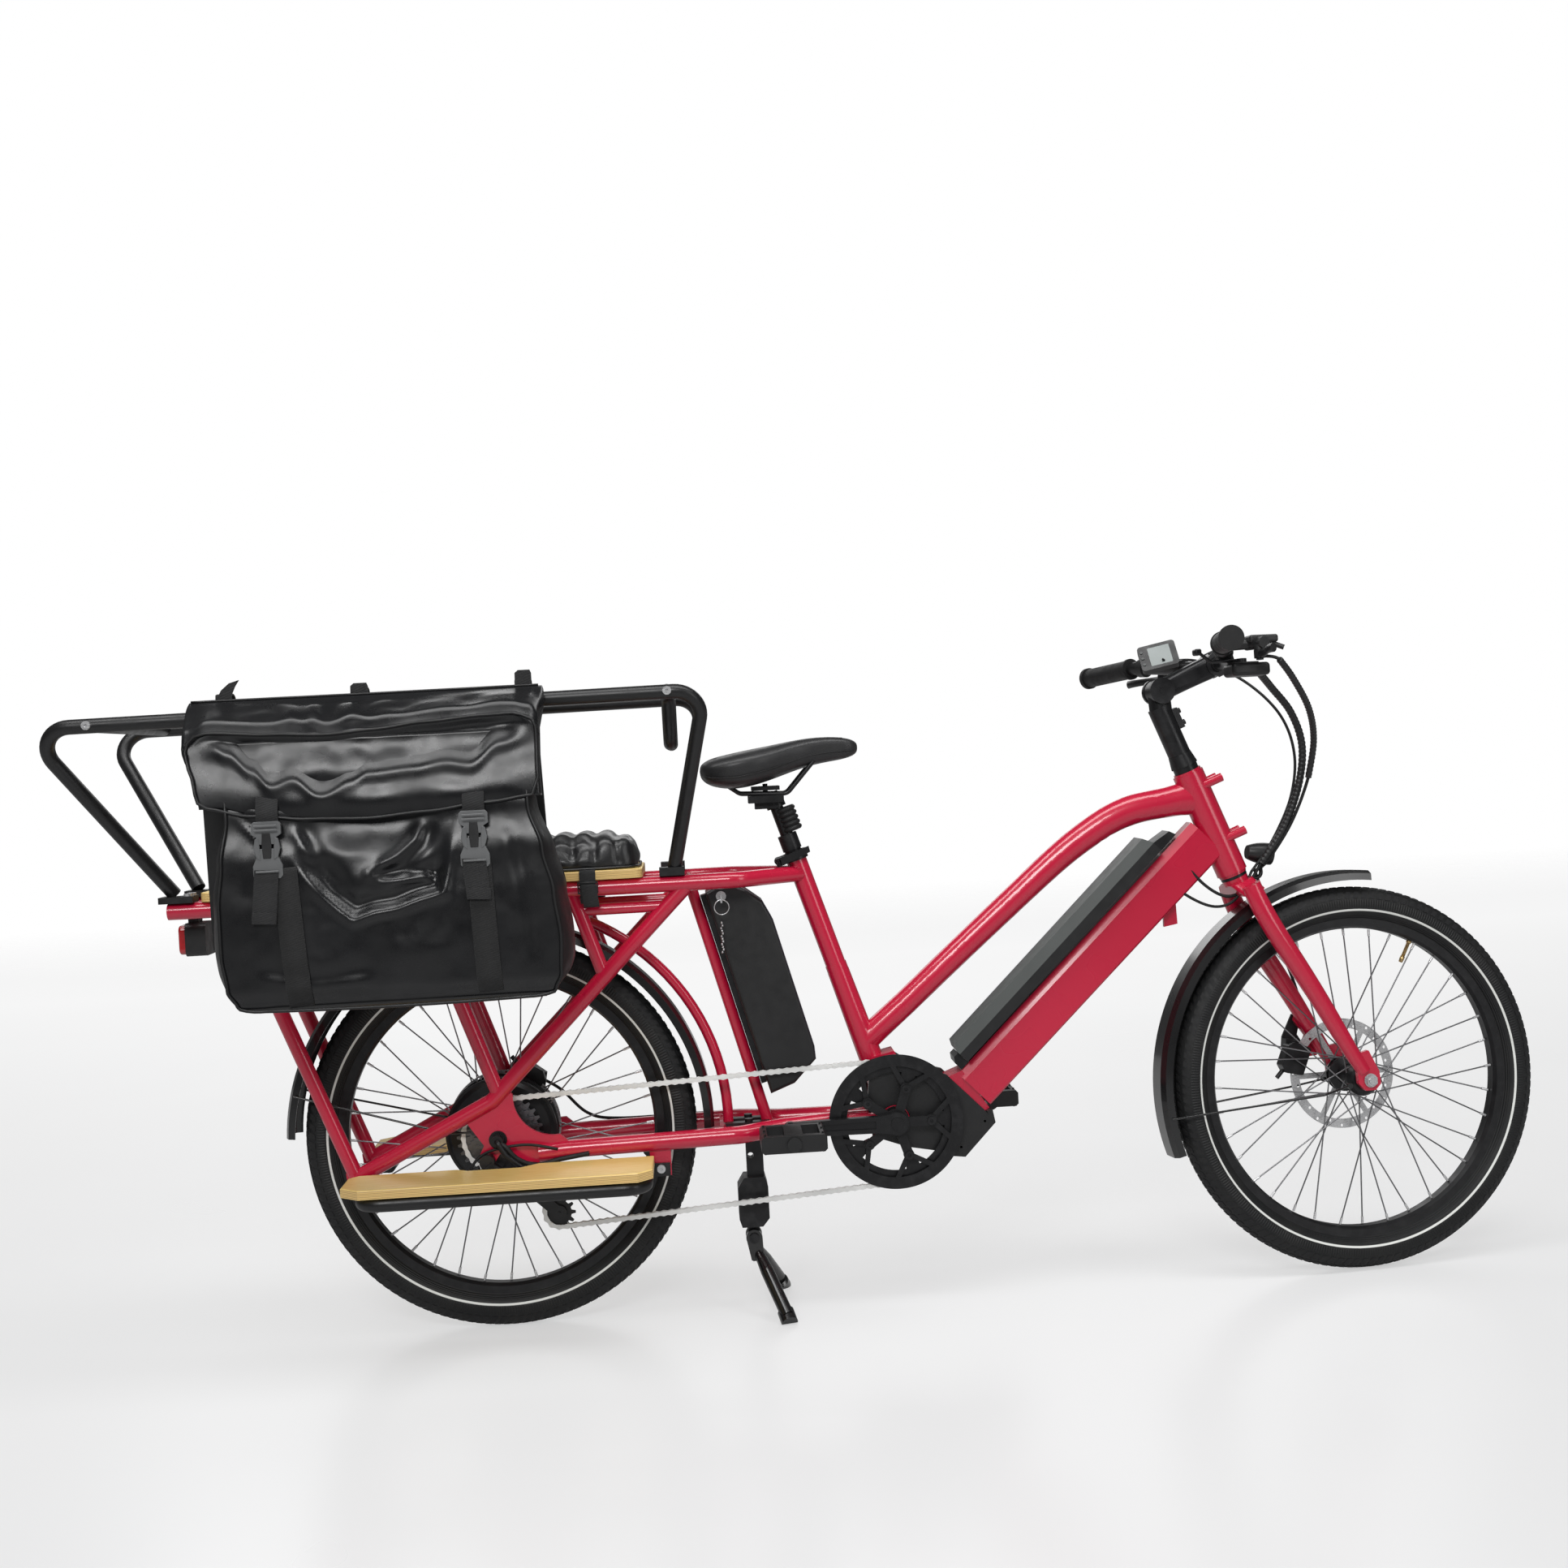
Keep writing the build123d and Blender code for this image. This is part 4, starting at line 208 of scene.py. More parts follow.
def bamboo():
    """Laminated strips with long grain on the faces and ply layers on the edges."""
    look = Look("bamboo_ply", (0.9, 0.66, 0.24), 0.4, Coat_Weight=0.2, Coat_Roughness=0.2)
    x, y, z = look.axes()
    strip = look.calc("FLOOR", look.calc("MULTIPLY", y, 50.0))
    tone = look.add("ShaderNodeTexWhiteNoise", noise_dimensions="1D")
    look.feed(tone.inputs["W"], strip)
    grain = look.noise(30, 5, (1, 22, 22))
    fine = look.noise(120, 3, (1, 16, 16))
    base = look.blend(look.span(tone.outputs["Value"], 0, 1, 0.15, 0.85), (0.93, 0.70, 0.25), (0.85, 0.60, 0.19))
    base = look.blend(look.span(grain, 0.42, 0.62, 0, 0.55), base, (0.74, 0.48, 0.14))
    layer = look.calc("FRACT", look.calc("MULTIPLY", z, 420.0))
    edge = look.blend(look.span(layer, 0.45, 0.55), (0.78, 0.56, 0.22), (0.48, 0.29, 0.10))
    flat = look.calc("ABSOLUTE", look.facing()[2])
    look.put("Base Color", look.blend(look.span(flat, 0.5, 0.7), edge, base))
    look.put("Roughness", look.span(grain, 0.35, 0.65, 0.3, 0.48))
    look.bump(fine, 0.00012, 0.7)
    return look.mat


def tyre(name, hub, turned):
    """Black rubber with a reflective line on each sidewall and fine sidewall ribs."""
    look = Look(name, (0.008, 0.008, 0.009), 0.55, Specular_IOR_Level=0.4)
    centre = STEER @ hub if turned else hub
    back = STEER.to_3x3().inverted() if turned else Matrix.Identity(3)
    place = look.mapped((1, 1, 1), tuple(-(back @ centre) * MM), tuple(back.to_euler()))
    x, y, z = look.axes(place)
    radius = look.calc("SQRT", look.calc("ADD", look.calc("MULTIPLY", x, x), look.calc("MULTIPLY", z, z)))
    off = look.calc("ABSOLUTE", look.calc("SUBTRACT", radius, 0.2712))
    line = look.span(off, 0.0014, 0.0019, 1, 0)
    dust = look.span(look.noise(16, 6), 0.42, 0.75)
    base = look.blend(dust, (0.007, 0.0075, 0.008), (0.014, 0.0138, 0.0135))
    look.put("Base Color", look.blend(line, base, (0.72, 0.73, 0.7)))
    look.put("Roughness", look.span(line, 0, 1, 0.58, 0.32))
    ribs = look.calc("SINE", look.calc("MULTIPLY", radius, 2600.0))
    low_wall = look.span(radius, 0.262, 0.268, 1, 0)
    look.bump(look.calc("MULTIPLY", ribs, low_wall), 0.00035)
    angle = look.calc("ARCTAN2", z, x)
    knurl = look.calc("SINE", look.calc("MULTIPLY", angle, 420.0))
    band = look.calc("MULTIPLY", look.span(radius, 0.2745, 0.276), look.span(radius, 0.286, 0.289, 1, 0))
    look.bump(look.calc("MULTIPLY", knurl, band), 0.0004)
    look.bump(look.noise(900, 2), 0.00008)
    return look.mat


def tarpaulin(name, rough=0.27, tone=(0.006, 0.0062, 0.007)):
    """Coated woven cloth: a fine square weave under a soft plastic shine."""
    look = Look(name, tone, rough, Coat_Weight=0.12, Coat_Roughness=0.16, Specular_IOR_Level=0.38)
    x, y, z = look.axes()
    run = 4200.0
    warp = look.calc("SINE", look.calc("MULTIPLY", look.calc("ADD", x, look.calc("MULTIPLY", y, 0.6)), run))
    weft = look.calc("SINE", look.calc("MULTIPLY", look.calc("ADD", z, look.calc("MULTIPLY", y, 0.6)), run))
    look.bump(look.calc("MULTIPLY", warp, weft), 0.00005, 0.3)
    look.bump(look.noise(45, 2), 0.0008, 0.25)
    scuff = look.span(look.noise(11, 6), 0.5, 0.8)
    look.put("Base Color", look.blend(scuff, tone, tuple(c * 1.5 for c in tone)))
    look.put("Roughness", look.span(look.noise(26, 4), 0.3, 0.7, rough - 0.07, rough + 0.12))
    return look.mat


def webbing(name, tone=(0.008, 0.008, 0.0085)):
    look = Look(name, tone, 0.75, Sheen_Weight=0.08, Sheen_Roughness=0.4)
    x, y, z = look.axes()
    rib = look.calc("SINE", look.calc("MULTIPLY", look.calc("ADD", z, look.calc("MULTIPLY", x, 0.25)), 3600.0))
    cross = look.calc("SINE", look.calc("MULTIPLY", look.calc("ADD", x, y), 5200.0))
    look.bump(look.calc("ADD", rib, look.calc("MULTIPLY", cross, 0.5)), 0.00022, 0.8)
    look.put("Base Color", look.blend(look.span(rib, -1, 1), tone, tuple(c * 1.9 for c in tone)))
    return look.mat


def vinyl(name, rough=0.36):
    look = Look(name, (0.008, 0.008, 0.009), rough, Coat_Weight=0.25, Coat_Roughness=0.25)
    look.bump(look.cells(520), 0.00022, 0.6)
    look.bump(look.noise(60, 3), 0.0006, 0.3)
    look.put("Base Color", look.blend(look.span(look.noise(20, 5), 0.4, 0.75), (0.007, 0.007, 0.008),
                                      (0.013, 0.013, 0.0135)))
    look.put("Roughness", look.span(look.noise(90, 3), 0.3, 0.7, rough - 0.05, rough + 0.1))
    return look.mat


def lens(name, color, rough=0.08, glow=0.0):
    look = Look(name, color, rough, Coat_Weight=1.0, Coat_Roughness=0.03)
    ribs = look.calc("SINE", look.calc("MULTIPLY", look.axes()[1], 1900.0))
    look.bump(ribs, 0.0003, 0.6)
    look.put("Base Color", look.blend(look.span(look.noise(60), 0.3, 0.7), color, tuple(c * 0.6 for c in color)))
    look.put("Emission Color", (*color, 1))
    look.put("Emission Strength", glow)
    return look.mat


RED = paint("crimson_paint", (0.50, 0.006, 0.038), (0.47, 0.005, 0.034))
BLACK = satin("black_paint", (0.006, 0.006, 0.0066), 0.38, 700, 0.00005, rub=(0.03, 0.03, 0.032))
GLOSS = paint("gloss_black", (0.0035, 0.0035, 0.004), (0.005, 0.005, 0.0055))
ANODISED = satin("black_anodised", (0.009, 0.009, 0.010), 0.34, 1200, 0.00003, 0.3, (0.05, 0.05, 0.052))
SILVER = brushed("silver_alloy", (0.80, 0.80, 0.81), 0.30, 0.7)
STEEL = brushed("steel", (0.66, 0.66, 0.67), 0.28, 0.75)
DARK_STEEL = brushed("dark_steel", (0.17, 0.17, 0.18), 0.34)
CHAIN_STEEL = brushed("chain_steel", (0.92, 0.92, 0.90), 0.36, 0.4)
BRASS = brushed("brass", (0.66, 0.47, 0.22), 0.34)
PLASTIC = satin("black_plastic", (0.009, 0.009, 0.0095), 0.42, 1100, 0.00008)
GREY = satin("grey_plastic", (0.034, 0.040, 0.038), 0.38, 1100, 0.00008)
MID_GREY = satin("mid_grey_plastic", (0.105, 0.108, 0.110), 0.34, 1100, 0.00008)
SPOKE = brushed("spoke_steel", (0.26, 0.26, 0.27), 0.34)
BLUE_EDGE = satin("battery_edge", (0.016, 0.019, 0.025), 0.30, 1100, 0.00006)
RUBBER = rubber("black_rubber")
BAMBOO = bamboo()
TARP = tarpaulin("tarpaulin")
TARP_MATT = tarpaulin("tarpaulin_matt", 0.46, (0.0055, 0.0056, 0.006))
WEB = webbing("webbing")
WEB_DARK = webbing("webbing_dark", (0.005, 0.005, 0.0052))
VINYL = vinyl("pad_vinyl")
SADDLE = vinyl("saddle_vinyl", 0.52)
RED_LENS = lens("rear_lens", (0.42, 0.006, 0.010), 0.1, 0.05)
CLEAR_LENS = lens("head_lens", (0.55, 0.57, 0.60), 0.06)
SCREEN = satin("screen", (0.14, 0.165, 0.16), 0.18, 1200, 0.00001)
REAR_TYRE = tyre("rear_tyre_rubber", REAR_HUB, False)
FRONT_TYRE = tyre("front_tyre_rubber", FRONT_HUB, True)


def dress(names, *looks, pick=None):
    """Give CAD nodes their materials; pick chooses one per face from its centre and normal, in mm."""
    for name in names.split():
        mesh = NODES[name].data
        mesh.materials.clear()
        for look in looks:
            mesh.materials.append(look)
        for face in mesh.polygons:
            face.material_index = pick(face.center / MM, face.normal) if pick else 0
            face.use_smooth = True
        mesh.set_sharp_from_angle(angle=math.radians(28))


def unsteered(point):
    return STEER.inverted() @ point


def near_axis(point, hub):
    return math.hypot(point.x - hub.x, point.z - hub.z)


def rear_hub_pick(p, n):
    return 1 if p.y > 38.0 and near_axis(p, REAR_HUB) > 24 else 0


def front_hub_pick(p, n):
    q = unsteered(p)
    return 1 if q.y > 40.1 and near_axis(q, FRONT_HUB) > 24 else 0


def screen_pick(p, n):
    """The pane is the only face at its own height above the display's middle plane."""
    height = (unsteered(p) - DISPLAY_AT).dot(DISPLAY_FACE)
    return 1 if abs(height - 5.85) < 0.06 else 0


def spoke_pick(hub):
    def pick(p, n):
        q = unsteered(p) if hub is FRONT_HUB else p
        return 1 if near_axis(q, hub) > 228 else 0
    return pick


dress("frame fork", RED)
dress("passenger_rails board_supports handlebar", BLACK)
dress("stem_post stem_arm bearing_cups seat_clamp seat_clamp_lever battery_mounts", ANODISED)
dress("kickstand_legs rear_fender front_fender", GLOSS)
dress("kickstand_bracket", ANODISED)
dress("controller_cover rear_derailleur bar_controls", PLASTIC)
dress("battery_key", STEEL)
dress("display", PLASTIC, SCREEN, pick=screen_pick)
dress("deck_board running_boards", BAMBOO)
dress("rear_rim front_rim", ANODISED)
dress("rear_tyre", REAR_TYRE)
dress("front_tyre", FRONT_TYRE)
dress("rear_spokes", SPOKE, SILVER, pick=spoke_pick(REAR_HUB))
dress("front_spokes", SPOKE, SILVER, pick=spoke_pick(FRONT_HUB))
dress("hub_motor", ANODISED, STEEL, pick=rear_hub_pick)
dress("front_hub", ANODISED, STEEL, pick=front_hub_pick)
dress("front_axle button_bolts", STEEL)
dress("cassette", DARK_STEEL)
dress("rear_axle", STEEL, ANODISED, pick=lambda p, n: 1 if p.y < -60 else 0)
dress("chainring crank_arms", ANODISED)
dress("grips seatpost_boot", RUBBER)
dress("seatpost", ANODISED)
dress("rear_caliper front_caliper", ANODISED)
dress("brake_lever_right brake_lever_left shift_lever", ANODISED)
dress("display_button_up display_button_mode display_button_down", GREY)
dress("saddle_clamp", ANODISED)
dress("pedal_right pedal_left", PLASTIC)
dress("headlight", PLASTIC, CLEAR_LENS, pick=lambda p, n: 1 if (STEER.to_3x3().inverted() @ n).x > 0.93 else 0)
dress("rear_light", PLASTIC, RED_LENS, pick=lambda p, n: 1 if p.x < -472.05 else 0)
dress("rear_battery", PLASTIC, BLUE_EDGE, pick=lambda p, n: 1 if n.x * 0.966 + n.z * 0.26 > 0.6 else 0)
dress("downtube_battery", PLASTIC, GREY, pick=lambda p, n: 1 if n.z > 0.25 and n.x < 0 else 0)


# ---------------------------------------------------------------- mesh helpers
class Shape:
    """Vertices in mm and faces, gathered from several closed parts."""

    def __init__(self):
        self.points = []
        self.faces = []

    def add(self, points, faces):
        base = len(self.points)
        self.points += [Vector(p) for p in points]
        self.faces += [tuple(base + i for i in face) for face in faces]
        return self


def piece(name, shape, body, look, level=0, thick=0.0, steered=False, flat=False, bevel=0.0):
    """Make an object from a Shape and let it ride on a CAD body; body None leaves it free."""
    mesh = bpy.data.meshes.new(name)
    points = [STEER @ p for p in shape.points] if steered else shape.points
    mesh.from_pydata([tuple(p * MM) for p in points], [], shape.faces)
    mesh.update()
    work = bmesh.new()
    work.from_mesh(mesh)
    bmesh.ops.recalc_face_normals(work, faces=work.faces)
    work.to_mesh(mesh)
    work.free()
    obj = bpy.data.objects.new(name, mesh)
    bpy.context.scene.collection.objects.link(obj)
    mesh.materials.append(look)
    for face in mesh.polygons:
        face.use_smooth = not flat
    if thick:
        solid = obj.modifiers.new("Thickness", "SOLIDIFY")
        solid.thickness = thick * MM
        solid.offset = -1
    if bevel:
        edge = obj.modifiers.new("Bevel", "BEVEL")
        edge.width = bevel * MM
        edge.segments = 2
        edge.limit_method = "ANGLE"
    if level:
        soft = obj.modifiers.new("Subdivision", "SUBSURF")
        soft.levels = level
        soft.render_levels = level
    if body:
        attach(obj, body)
    return obj


def grid_faces(rows, cols, wrap=False):
    faces = []
    for i in range(rows - 1):
        for j in range(cols if wrap else cols - 1):
            k = (j + 1) % cols
            faces.append((i * cols + j, i * cols + k, (i + 1) * cols + k, (i + 1) * cols + j))
    return faces


def smooth_path(points, steps=8):
    """Catmull-Rom curve through the points."""
    pts = [Vector(p) for p in points]
    out = []
    for i in range(len(pts) - 1):
        a = pts[max(i - 1, 0)]
        b, c = pts[i], pts[i + 1]
        d = pts[min(i + 2, len(pts) - 1)]
        for s in range(steps):
            t = s / steps
            out.append(0.5 * (2 * b + (c - a) * t + (2 * a - 5 * b + 4 * c - d) * t * t
                              + (3 * b - a - 3 * c + d) * t * t * t))
    out.append(pts[-1])
    return out


def tube(points, radius, sides=12, closed=False):
    """Tube along points; radius is a number or a function of the point's index."""
    pts = [Vector(p) for p in points]
    count = len(pts)
    side = None
    verts = []
    for i, p in enumerate(pts):
        ahead = pts[(i + 1) % count] if closed or i < count - 1 else p
        behind = pts[i - 1] if closed or i > 0 else p
        along = (ahead - behind).normalized()
        if side is None:
            side = along.orthogonal().normalized()
        side = (side - along * side.dot(along)).normalized()
        up = along.cross(side)
        r = radius(i) if callable(radius) else radius
        for k in range(sides):
            a = 2 * math.pi * k / sides
            verts.append(p + side * (r * math.cos(a)) + up * (r * math.sin(a)))
    faces = grid_faces(count, sides, True)
    if closed:
        last = (count - 1) * sides
        faces += [(last + k, last + (k + 1) % sides, (k + 1) % sides, k) for k in range(sides)]
    else:
        faces.append(tuple(range(sides)))
        faces.append(tuple((count - 1) * sides + k for k in reversed(range(sides))))
    return verts, faces


def ribbon(points, across, width, thick):
    """Flat strap along points, lying along the across direction, with rounded edges."""
    pts = [Vector(p) for p in points]
    flat = Vector(across).normalized()
    half, edge = width / 2, thick / 2
    section = [(-half, 0), (-half + edge * 0.6, edge), (half - edge * 0.6, edge), (half, 0),
               (half - edge * 0.6, -edge), (-half + edge * 0.6, -edge)]
    verts = []
    for i, p in enumerate(pts):
        along = (pts[min(i + 1, len(pts) - 1)] - pts[max(i - 1, 0)]).normalized()
        out = along.cross(flat).normalized()
        verts += [p + flat * a + out * b for a, b in section]
    sides = len(section)
    faces = grid_faces(len(pts), sides, True)
    faces.append(tuple(range(sides)))
    faces.append(tuple((len(pts) - 1) * sides + k for k in reversed(range(sides))))
    return verts, faces


def slab(outline, origin, right, up, depth):
    """Plate from an outline in the right/up plane, depth along their cross product."""
    right, up = Vector(right).normalized(), Vector(up).normalized()
    out = right.cross(up)
    base = [Vector(origin) + right * a + up * b for a, b in outline]
    count = len(outline)
    verts = base + [p + out * depth for p in base]
    faces = [tuple(reversed(range(count))), tuple(range(count, 2 * count))]
    faces += [(i, (i + 1) % count, count + (i + 1) % count, count + i) for i in range(count)]
    return verts, faces


def disc(centre, axis, radius, depth, sides=20):
    """Closed cylinder centred on a point."""
    half = Vector(axis).normalized() * (depth / 2)
    return tube([Vector(centre) - half, Vector(centre) + half], radius, sides)


def table(points, x):
    """Value at x of a curve through (x, value) points."""
    if x <= points[0][0]:
        return points[0][1]
    for (x0, v0), (x1, v1) in zip(points, points[1:]):
        if x <= x1:
            t = (x - x0) / (x1 - x0)
            t = t * t * (3 - 2 * t)
            return v0 + (v1 - v0) * t
    return points[-1][1]


def bell(distance, width):
    return math.exp(-(distance / width) ** 2)


def step(value):
    value = min(max(value, 0.0), 1.0)
    return value * value * (3 - 2 * value)


# ---------------------------------------------------------------- chain links
PITCH = 12.7
CHAIN_PLANE = -44.0
CHAIN_WHEELS = ((623.0, 292.0, 97.09, 1), (0.0, 308.0, 56.72, 1), (38.0, 226.0, 22.54, -1), (86.0, 181.6, 22.54, 1))


def chain_route():
    """Points along the middle of the chain, closely spaced."""
    runs = []
    for i, (x0, z0, r0, t0) in enumerate(CHAIN_WHEELS):
        x1, z1, r1, t1 = CHAIN_WHEELS[(i + 1) % len(CHAIN_WHEELS)]
        length = math.hypot(x1 - x0, z1 - z0)
        normal = math.atan2(z1 - z0, x1 - x0) - math.acos((t0 * r0 - t1 * r1) / length)
        across = Vector((math.cos(normal), math.sin(normal)))
        runs.append((Vector((x0, z0)) + across * (t0 * r0), Vector((x1, z1)) + across * (t1 * r1)))
    route = []
    for i, (start, end) in enumerate(runs):
        route += [start.lerp(end, k / 40) for k in range(40)]
        x, z, radius, turn = CHAIN_WHEELS[(i + 1) % len(CHAIN_WHEELS)]
        onward = runs[(i + 1) % len(runs)][0]
        angle = math.atan2(end.y - z, end.x - x)
        swing = (turn * (math.atan2(onward.y - z, onward.x - x) - angle)) % (2 * math.pi)
        for k in range(60):
            a = angle + turn * swing * k / 60
            route.append(Vector((x + radius * math.cos(a), z + radius * math.sin(a))))
    return route


def chain_pins():
    """Pin centres at equal distances round the route."""
    route = chain_route()
    lengths = [(route[(i + 1) % len(route)] - route[i]).length for i in range(len(route))]
    total = sum(lengths)
    count = 2 * round(total / PITCH / 2)
    pins, i, walked = [], 0, 0.0
    for n in range(count):
        goal = n * total / count
        while walked + lengths[i] < goal:
            walked += lengths[i]
            i += 1
        share = (goal - walked) / lengths[i]
        pins.append(route[i].lerp(route[(i + 1) % len(route)], share))
    return pins


def link_outline(length):
    """Waisted side plate, from one pin to the next."""
    outline = []
    for centre, first in ((0.0, 90), (length, -90)):
        for k in range(7):
            a = math.radians(first + 30 * k)
            outline.append((centre + 4.1 * math.cos(a), 4.1 * math.sin(a)))
        middle = length / 2
        outline.append((middle, -2.7 if first == 90 else 2.7))
    return outline


def chain_links():
    shape = Shape()
    pins = chain_pins()
    for i, pin in enumerate(pins):
        ahead = pins[(i + 1) % len(pins)]
        along = ahead - pin
        right = Vector((along.x, 0, along.y)).normalized()
        up = right.cross(Vector((0, 1, 0)))
        outline = link_outline(along.length)
        near = 2.25 if i % 2 else 3.35
        for y in (near, -near - 1.0):
            origin = (pin.x, CHAIN_PLANE + y, pin.y)
            shape.add(*slab(outline, origin, right, -up, 1.0))
        middle = Vector((pin.x, CHAIN_PLANE, pin.y))
        shape.add(*disc(middle, (0, 1, 0), 1.8, 9.4, 8))
        shape.add(*disc(middle, (0, 1, 0), 3.8, 4.2, 10))
    return shape


links = piece("chain_links", chain_links(), "frame", CHAIN_STEEL, flat=True)
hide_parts("chain")

# ---------------------------------------------------------------- pannier bag
BAG_LEVELS = ((557, -300, 108, -236, -322), (566, -322, 122, -224, -330), (590, -334, 132, -219, -335),
              (640, -340, 134, -216, -336), (706, -340, 127, -215, -336), (767, -334, 114, -215, -333),
              (830, -326, 96, -215, -322), (880, -330, 94, -215, -310), (940, -340, 92, -215, -296))
CORNER = 16.0
FOLDS = (
    (((-239, 774), (-219, 749), (-196, 719), (-173, 697), (-154, 681), (-125, 690), (-92, 694), (-59, 705),
      (-27, 713), (-18, 750), (-10, 799)), 8.5, 8.0, 11.0, 15.0),
    (((-138, 742), (-115, 735), (-82, 733), (-50, 735), (-34, 728)), 4.5, 6.0, 5.0, 10.0),
    (((-51, 818), (-63, 789), (-89, 766), (-122, 749), (-138, 742)), 6.0, 8.0, 6.0, 12.0),
    (((-318, 836), (-293, 814), (-270, 790)), 2.5, 5.0, 2.5, 8.0),
    (((-235, 820), (-205, 760), (-165, 715)), 3.5, 7.0, 3.5, 12.0),
    (((60, 800), (78, 700), (84, 610)), 2.2, 9.0, 2.0, 12.0),
    (((-300, 610), (-220, 590), (-120, 600)), 1.8, 9.0, 1.6, 12.0),
)
FRONT_Y = [(z, y1) for z, x0, x1, y0, y1 in BAG_LEVELS]


def fold_relief(x, z, path, rise, width, dip, dip_width):
    """Ridge along a path with a hollow on its upper side; it fades out at both ends."""
    best, side, share = 1e9, 1.0, 0.0
    spans = list(zip(path, path[1:]))
    for i, ((x0, z0), (x1, z1)) in enumerate(spans):
        dx, dz = x1 - x0, z1 - z0
        t = min(max(((x - x0) * dx + (z - z0) * dz) / (dx * dx + dz * dz), 0.0), 1.0)
        gap = math.hypot(x - x0 - t * dx, z - z0 - t * dz)
        if gap < best:
            best = gap
            side = 1.0 if dx * (z - z0) - dz * (x - x0) > 0 else -1.0
            share = (i + t) / len(spans)
    if best > 60:
        return 0.0
    fade = step(share * 5 + 0.15) * step((1 - share) * 5 + 0.15)
    return fade * (rise * bell(best, width) - dip * bell(best * side - dip_width * 1.1, dip_width))


def front_relief(x, z):
    """How far the bag's front cloth stands proud of its plain surface."""
    out = 4.0 * bell(x + 110, 170) * bell(z - 630, 70)
    out -= 15.0 * bell(x + 112, 78) * bell(z - 812, 46)
    for fold in FOLDS:
        out += fold_relief(x, z, *fold)
    out += 2.4 * noise.noise(Vector((x / 70, z / 55, 3.1)))
    out += 0.9 * noise.noise(Vector((x / 24, z / 22, 8.4)))
    return out


def edge_fade(x, z):
    """Folds die out towards the piped edges."""
    left = table([(lv[0], lv[1]) for lv in BAG_LEVELS], z)
    right = table([(lv[0], lv[2]) for lv in BAG_LEVELS], z)
    return step((x - left) / 40) * step((right - x) / 40) * step((z - 557) / 40)


def bag_front(x, z):
    return table(FRONT_Y, z) - front_relief(x, z) * edge_fade(x, z)


def bag_ring(z):
    """Points round the bag at a height: front, right gusset, back, left gusset."""
    x0, x1, y0, y1 = [table([(lv[0], lv[k]) for lv in BAG_LEVELS], z) for k in (1, 2, 3, 4)]
    swell = 15.0 * step((z - 555) / 60) * (1 - 0.75 * step((z - 720) / 200))
    points = []
    for k in range(91):
        x = x0 + (x1 - x0) * k / 90
        points.append(Vector((x, bag_front(x, z), z)))
    for k in range(1, 20):
        t = k / 20
        puff = swell * math.sin(math.pi * t) ** 0.8
        puff += 2.0 * noise.noise(Vector((t * 5, z / 45, 21))) * math.sin(math.pi * t)
        points.append(Vector((x1 + puff, y1 + (y0 - y1) * t, z)))
    for k in range(31):
        points.append(Vector((x1 + (x0 - x1) * k / 30, y0, z)))
    for k in range(1, 20):
        t = k / 20
        puff = swell * math.sin(math.pi * t) ** 0.8 * 1.3
        puff += 2.0 * noise.noise(Vector((t * 5, z / 45, 41))) * math.sin(math.pi * t)
        points.append(Vector((x0 - puff, y0 + (y1 - y0) * t, z)))
    return points


def bag_shell():
    rows = []
    floor = bag_ring(557)
    middle = sum(floor, Vector()) / len(floor)
    for share in (0.02, 0.35, 0.7, 0.92):
        rows.append([middle.lerp(p, share) + Vector((0, 0, -1.5 * (1 - share))) for p in floor])
    for k in range(84):
        z = 557 + (940 - 557) * k / 83
        rows.append(bag_ring(z))
    cols = len(rows[0])
    shape = Shape()
    shape.add([p for row in rows for p in row], grid_faces(len(rows), cols, True) + [tuple(range(cols))])
    return shape


shell = piece("bag_shell", bag_shell(), "frame", TARP, thick=1.6)
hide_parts("pannier_bag")
shell.data.materials.append(TARP_MATT)
for face in shell.data.polygons:
    if abs(face.normal.x) > 0.7 or face.normal.y > 0.5:
        face.material_index = 1


def bag_edge(side, z):
    """Point on the piped edge of the front panel; side is 1 on the left edge and 2 on the right."""
    x = table([(lv[0], lv[side]) for lv in BAG_LEVELS], z)
    return Vector((x, table(FRONT_Y, z) - 1.2, z))


def bag_piping():
    shape = Shape()
    left = [bag_edge(1, z) for z in range(860, 562, -8)]
    right = [bag_edge(2, z) for z in range(564, 866, 8)]
    bottom = [Vector((x, -331 - (1.5 if -280 < x < 90 else 0), 560 - 3 * math.sin(math.pi * (x + 300) / 410)))
              for x in range(-300, 108, 16)]
    path = left + bottom + right
    shape.add(*tube(smooth_path(path, 2), 2.4, 8))
    for x_side in (1, 2):
        back = [Vector((table([(lv[0], lv[x_side]) for lv in BAG_LEVELS], z), -216.5, z)) for z in range(575, 985, 14)]
        shape.add(*tube(back, 2.0, 8))
    return shape


piece("bag_piping", bag_piping(), "frame", TARP_MATT)

BACK_OUTLINE = [(-380, 640), (-384, 900), (-388, 985), (-382, 992), (108, 994), (113, 988), (110, 900), (118, 640)]
back_panel = Shape().add(*slab([(x, z) for x, z in BACK_OUTLINE], (0, -218.0, 0), (1, 0, 0), (0, 0, 1), 2.6))
piece("bag_back_panel", back_panel, "frame", TARP_MATT, flat=True, bevel=0.8)


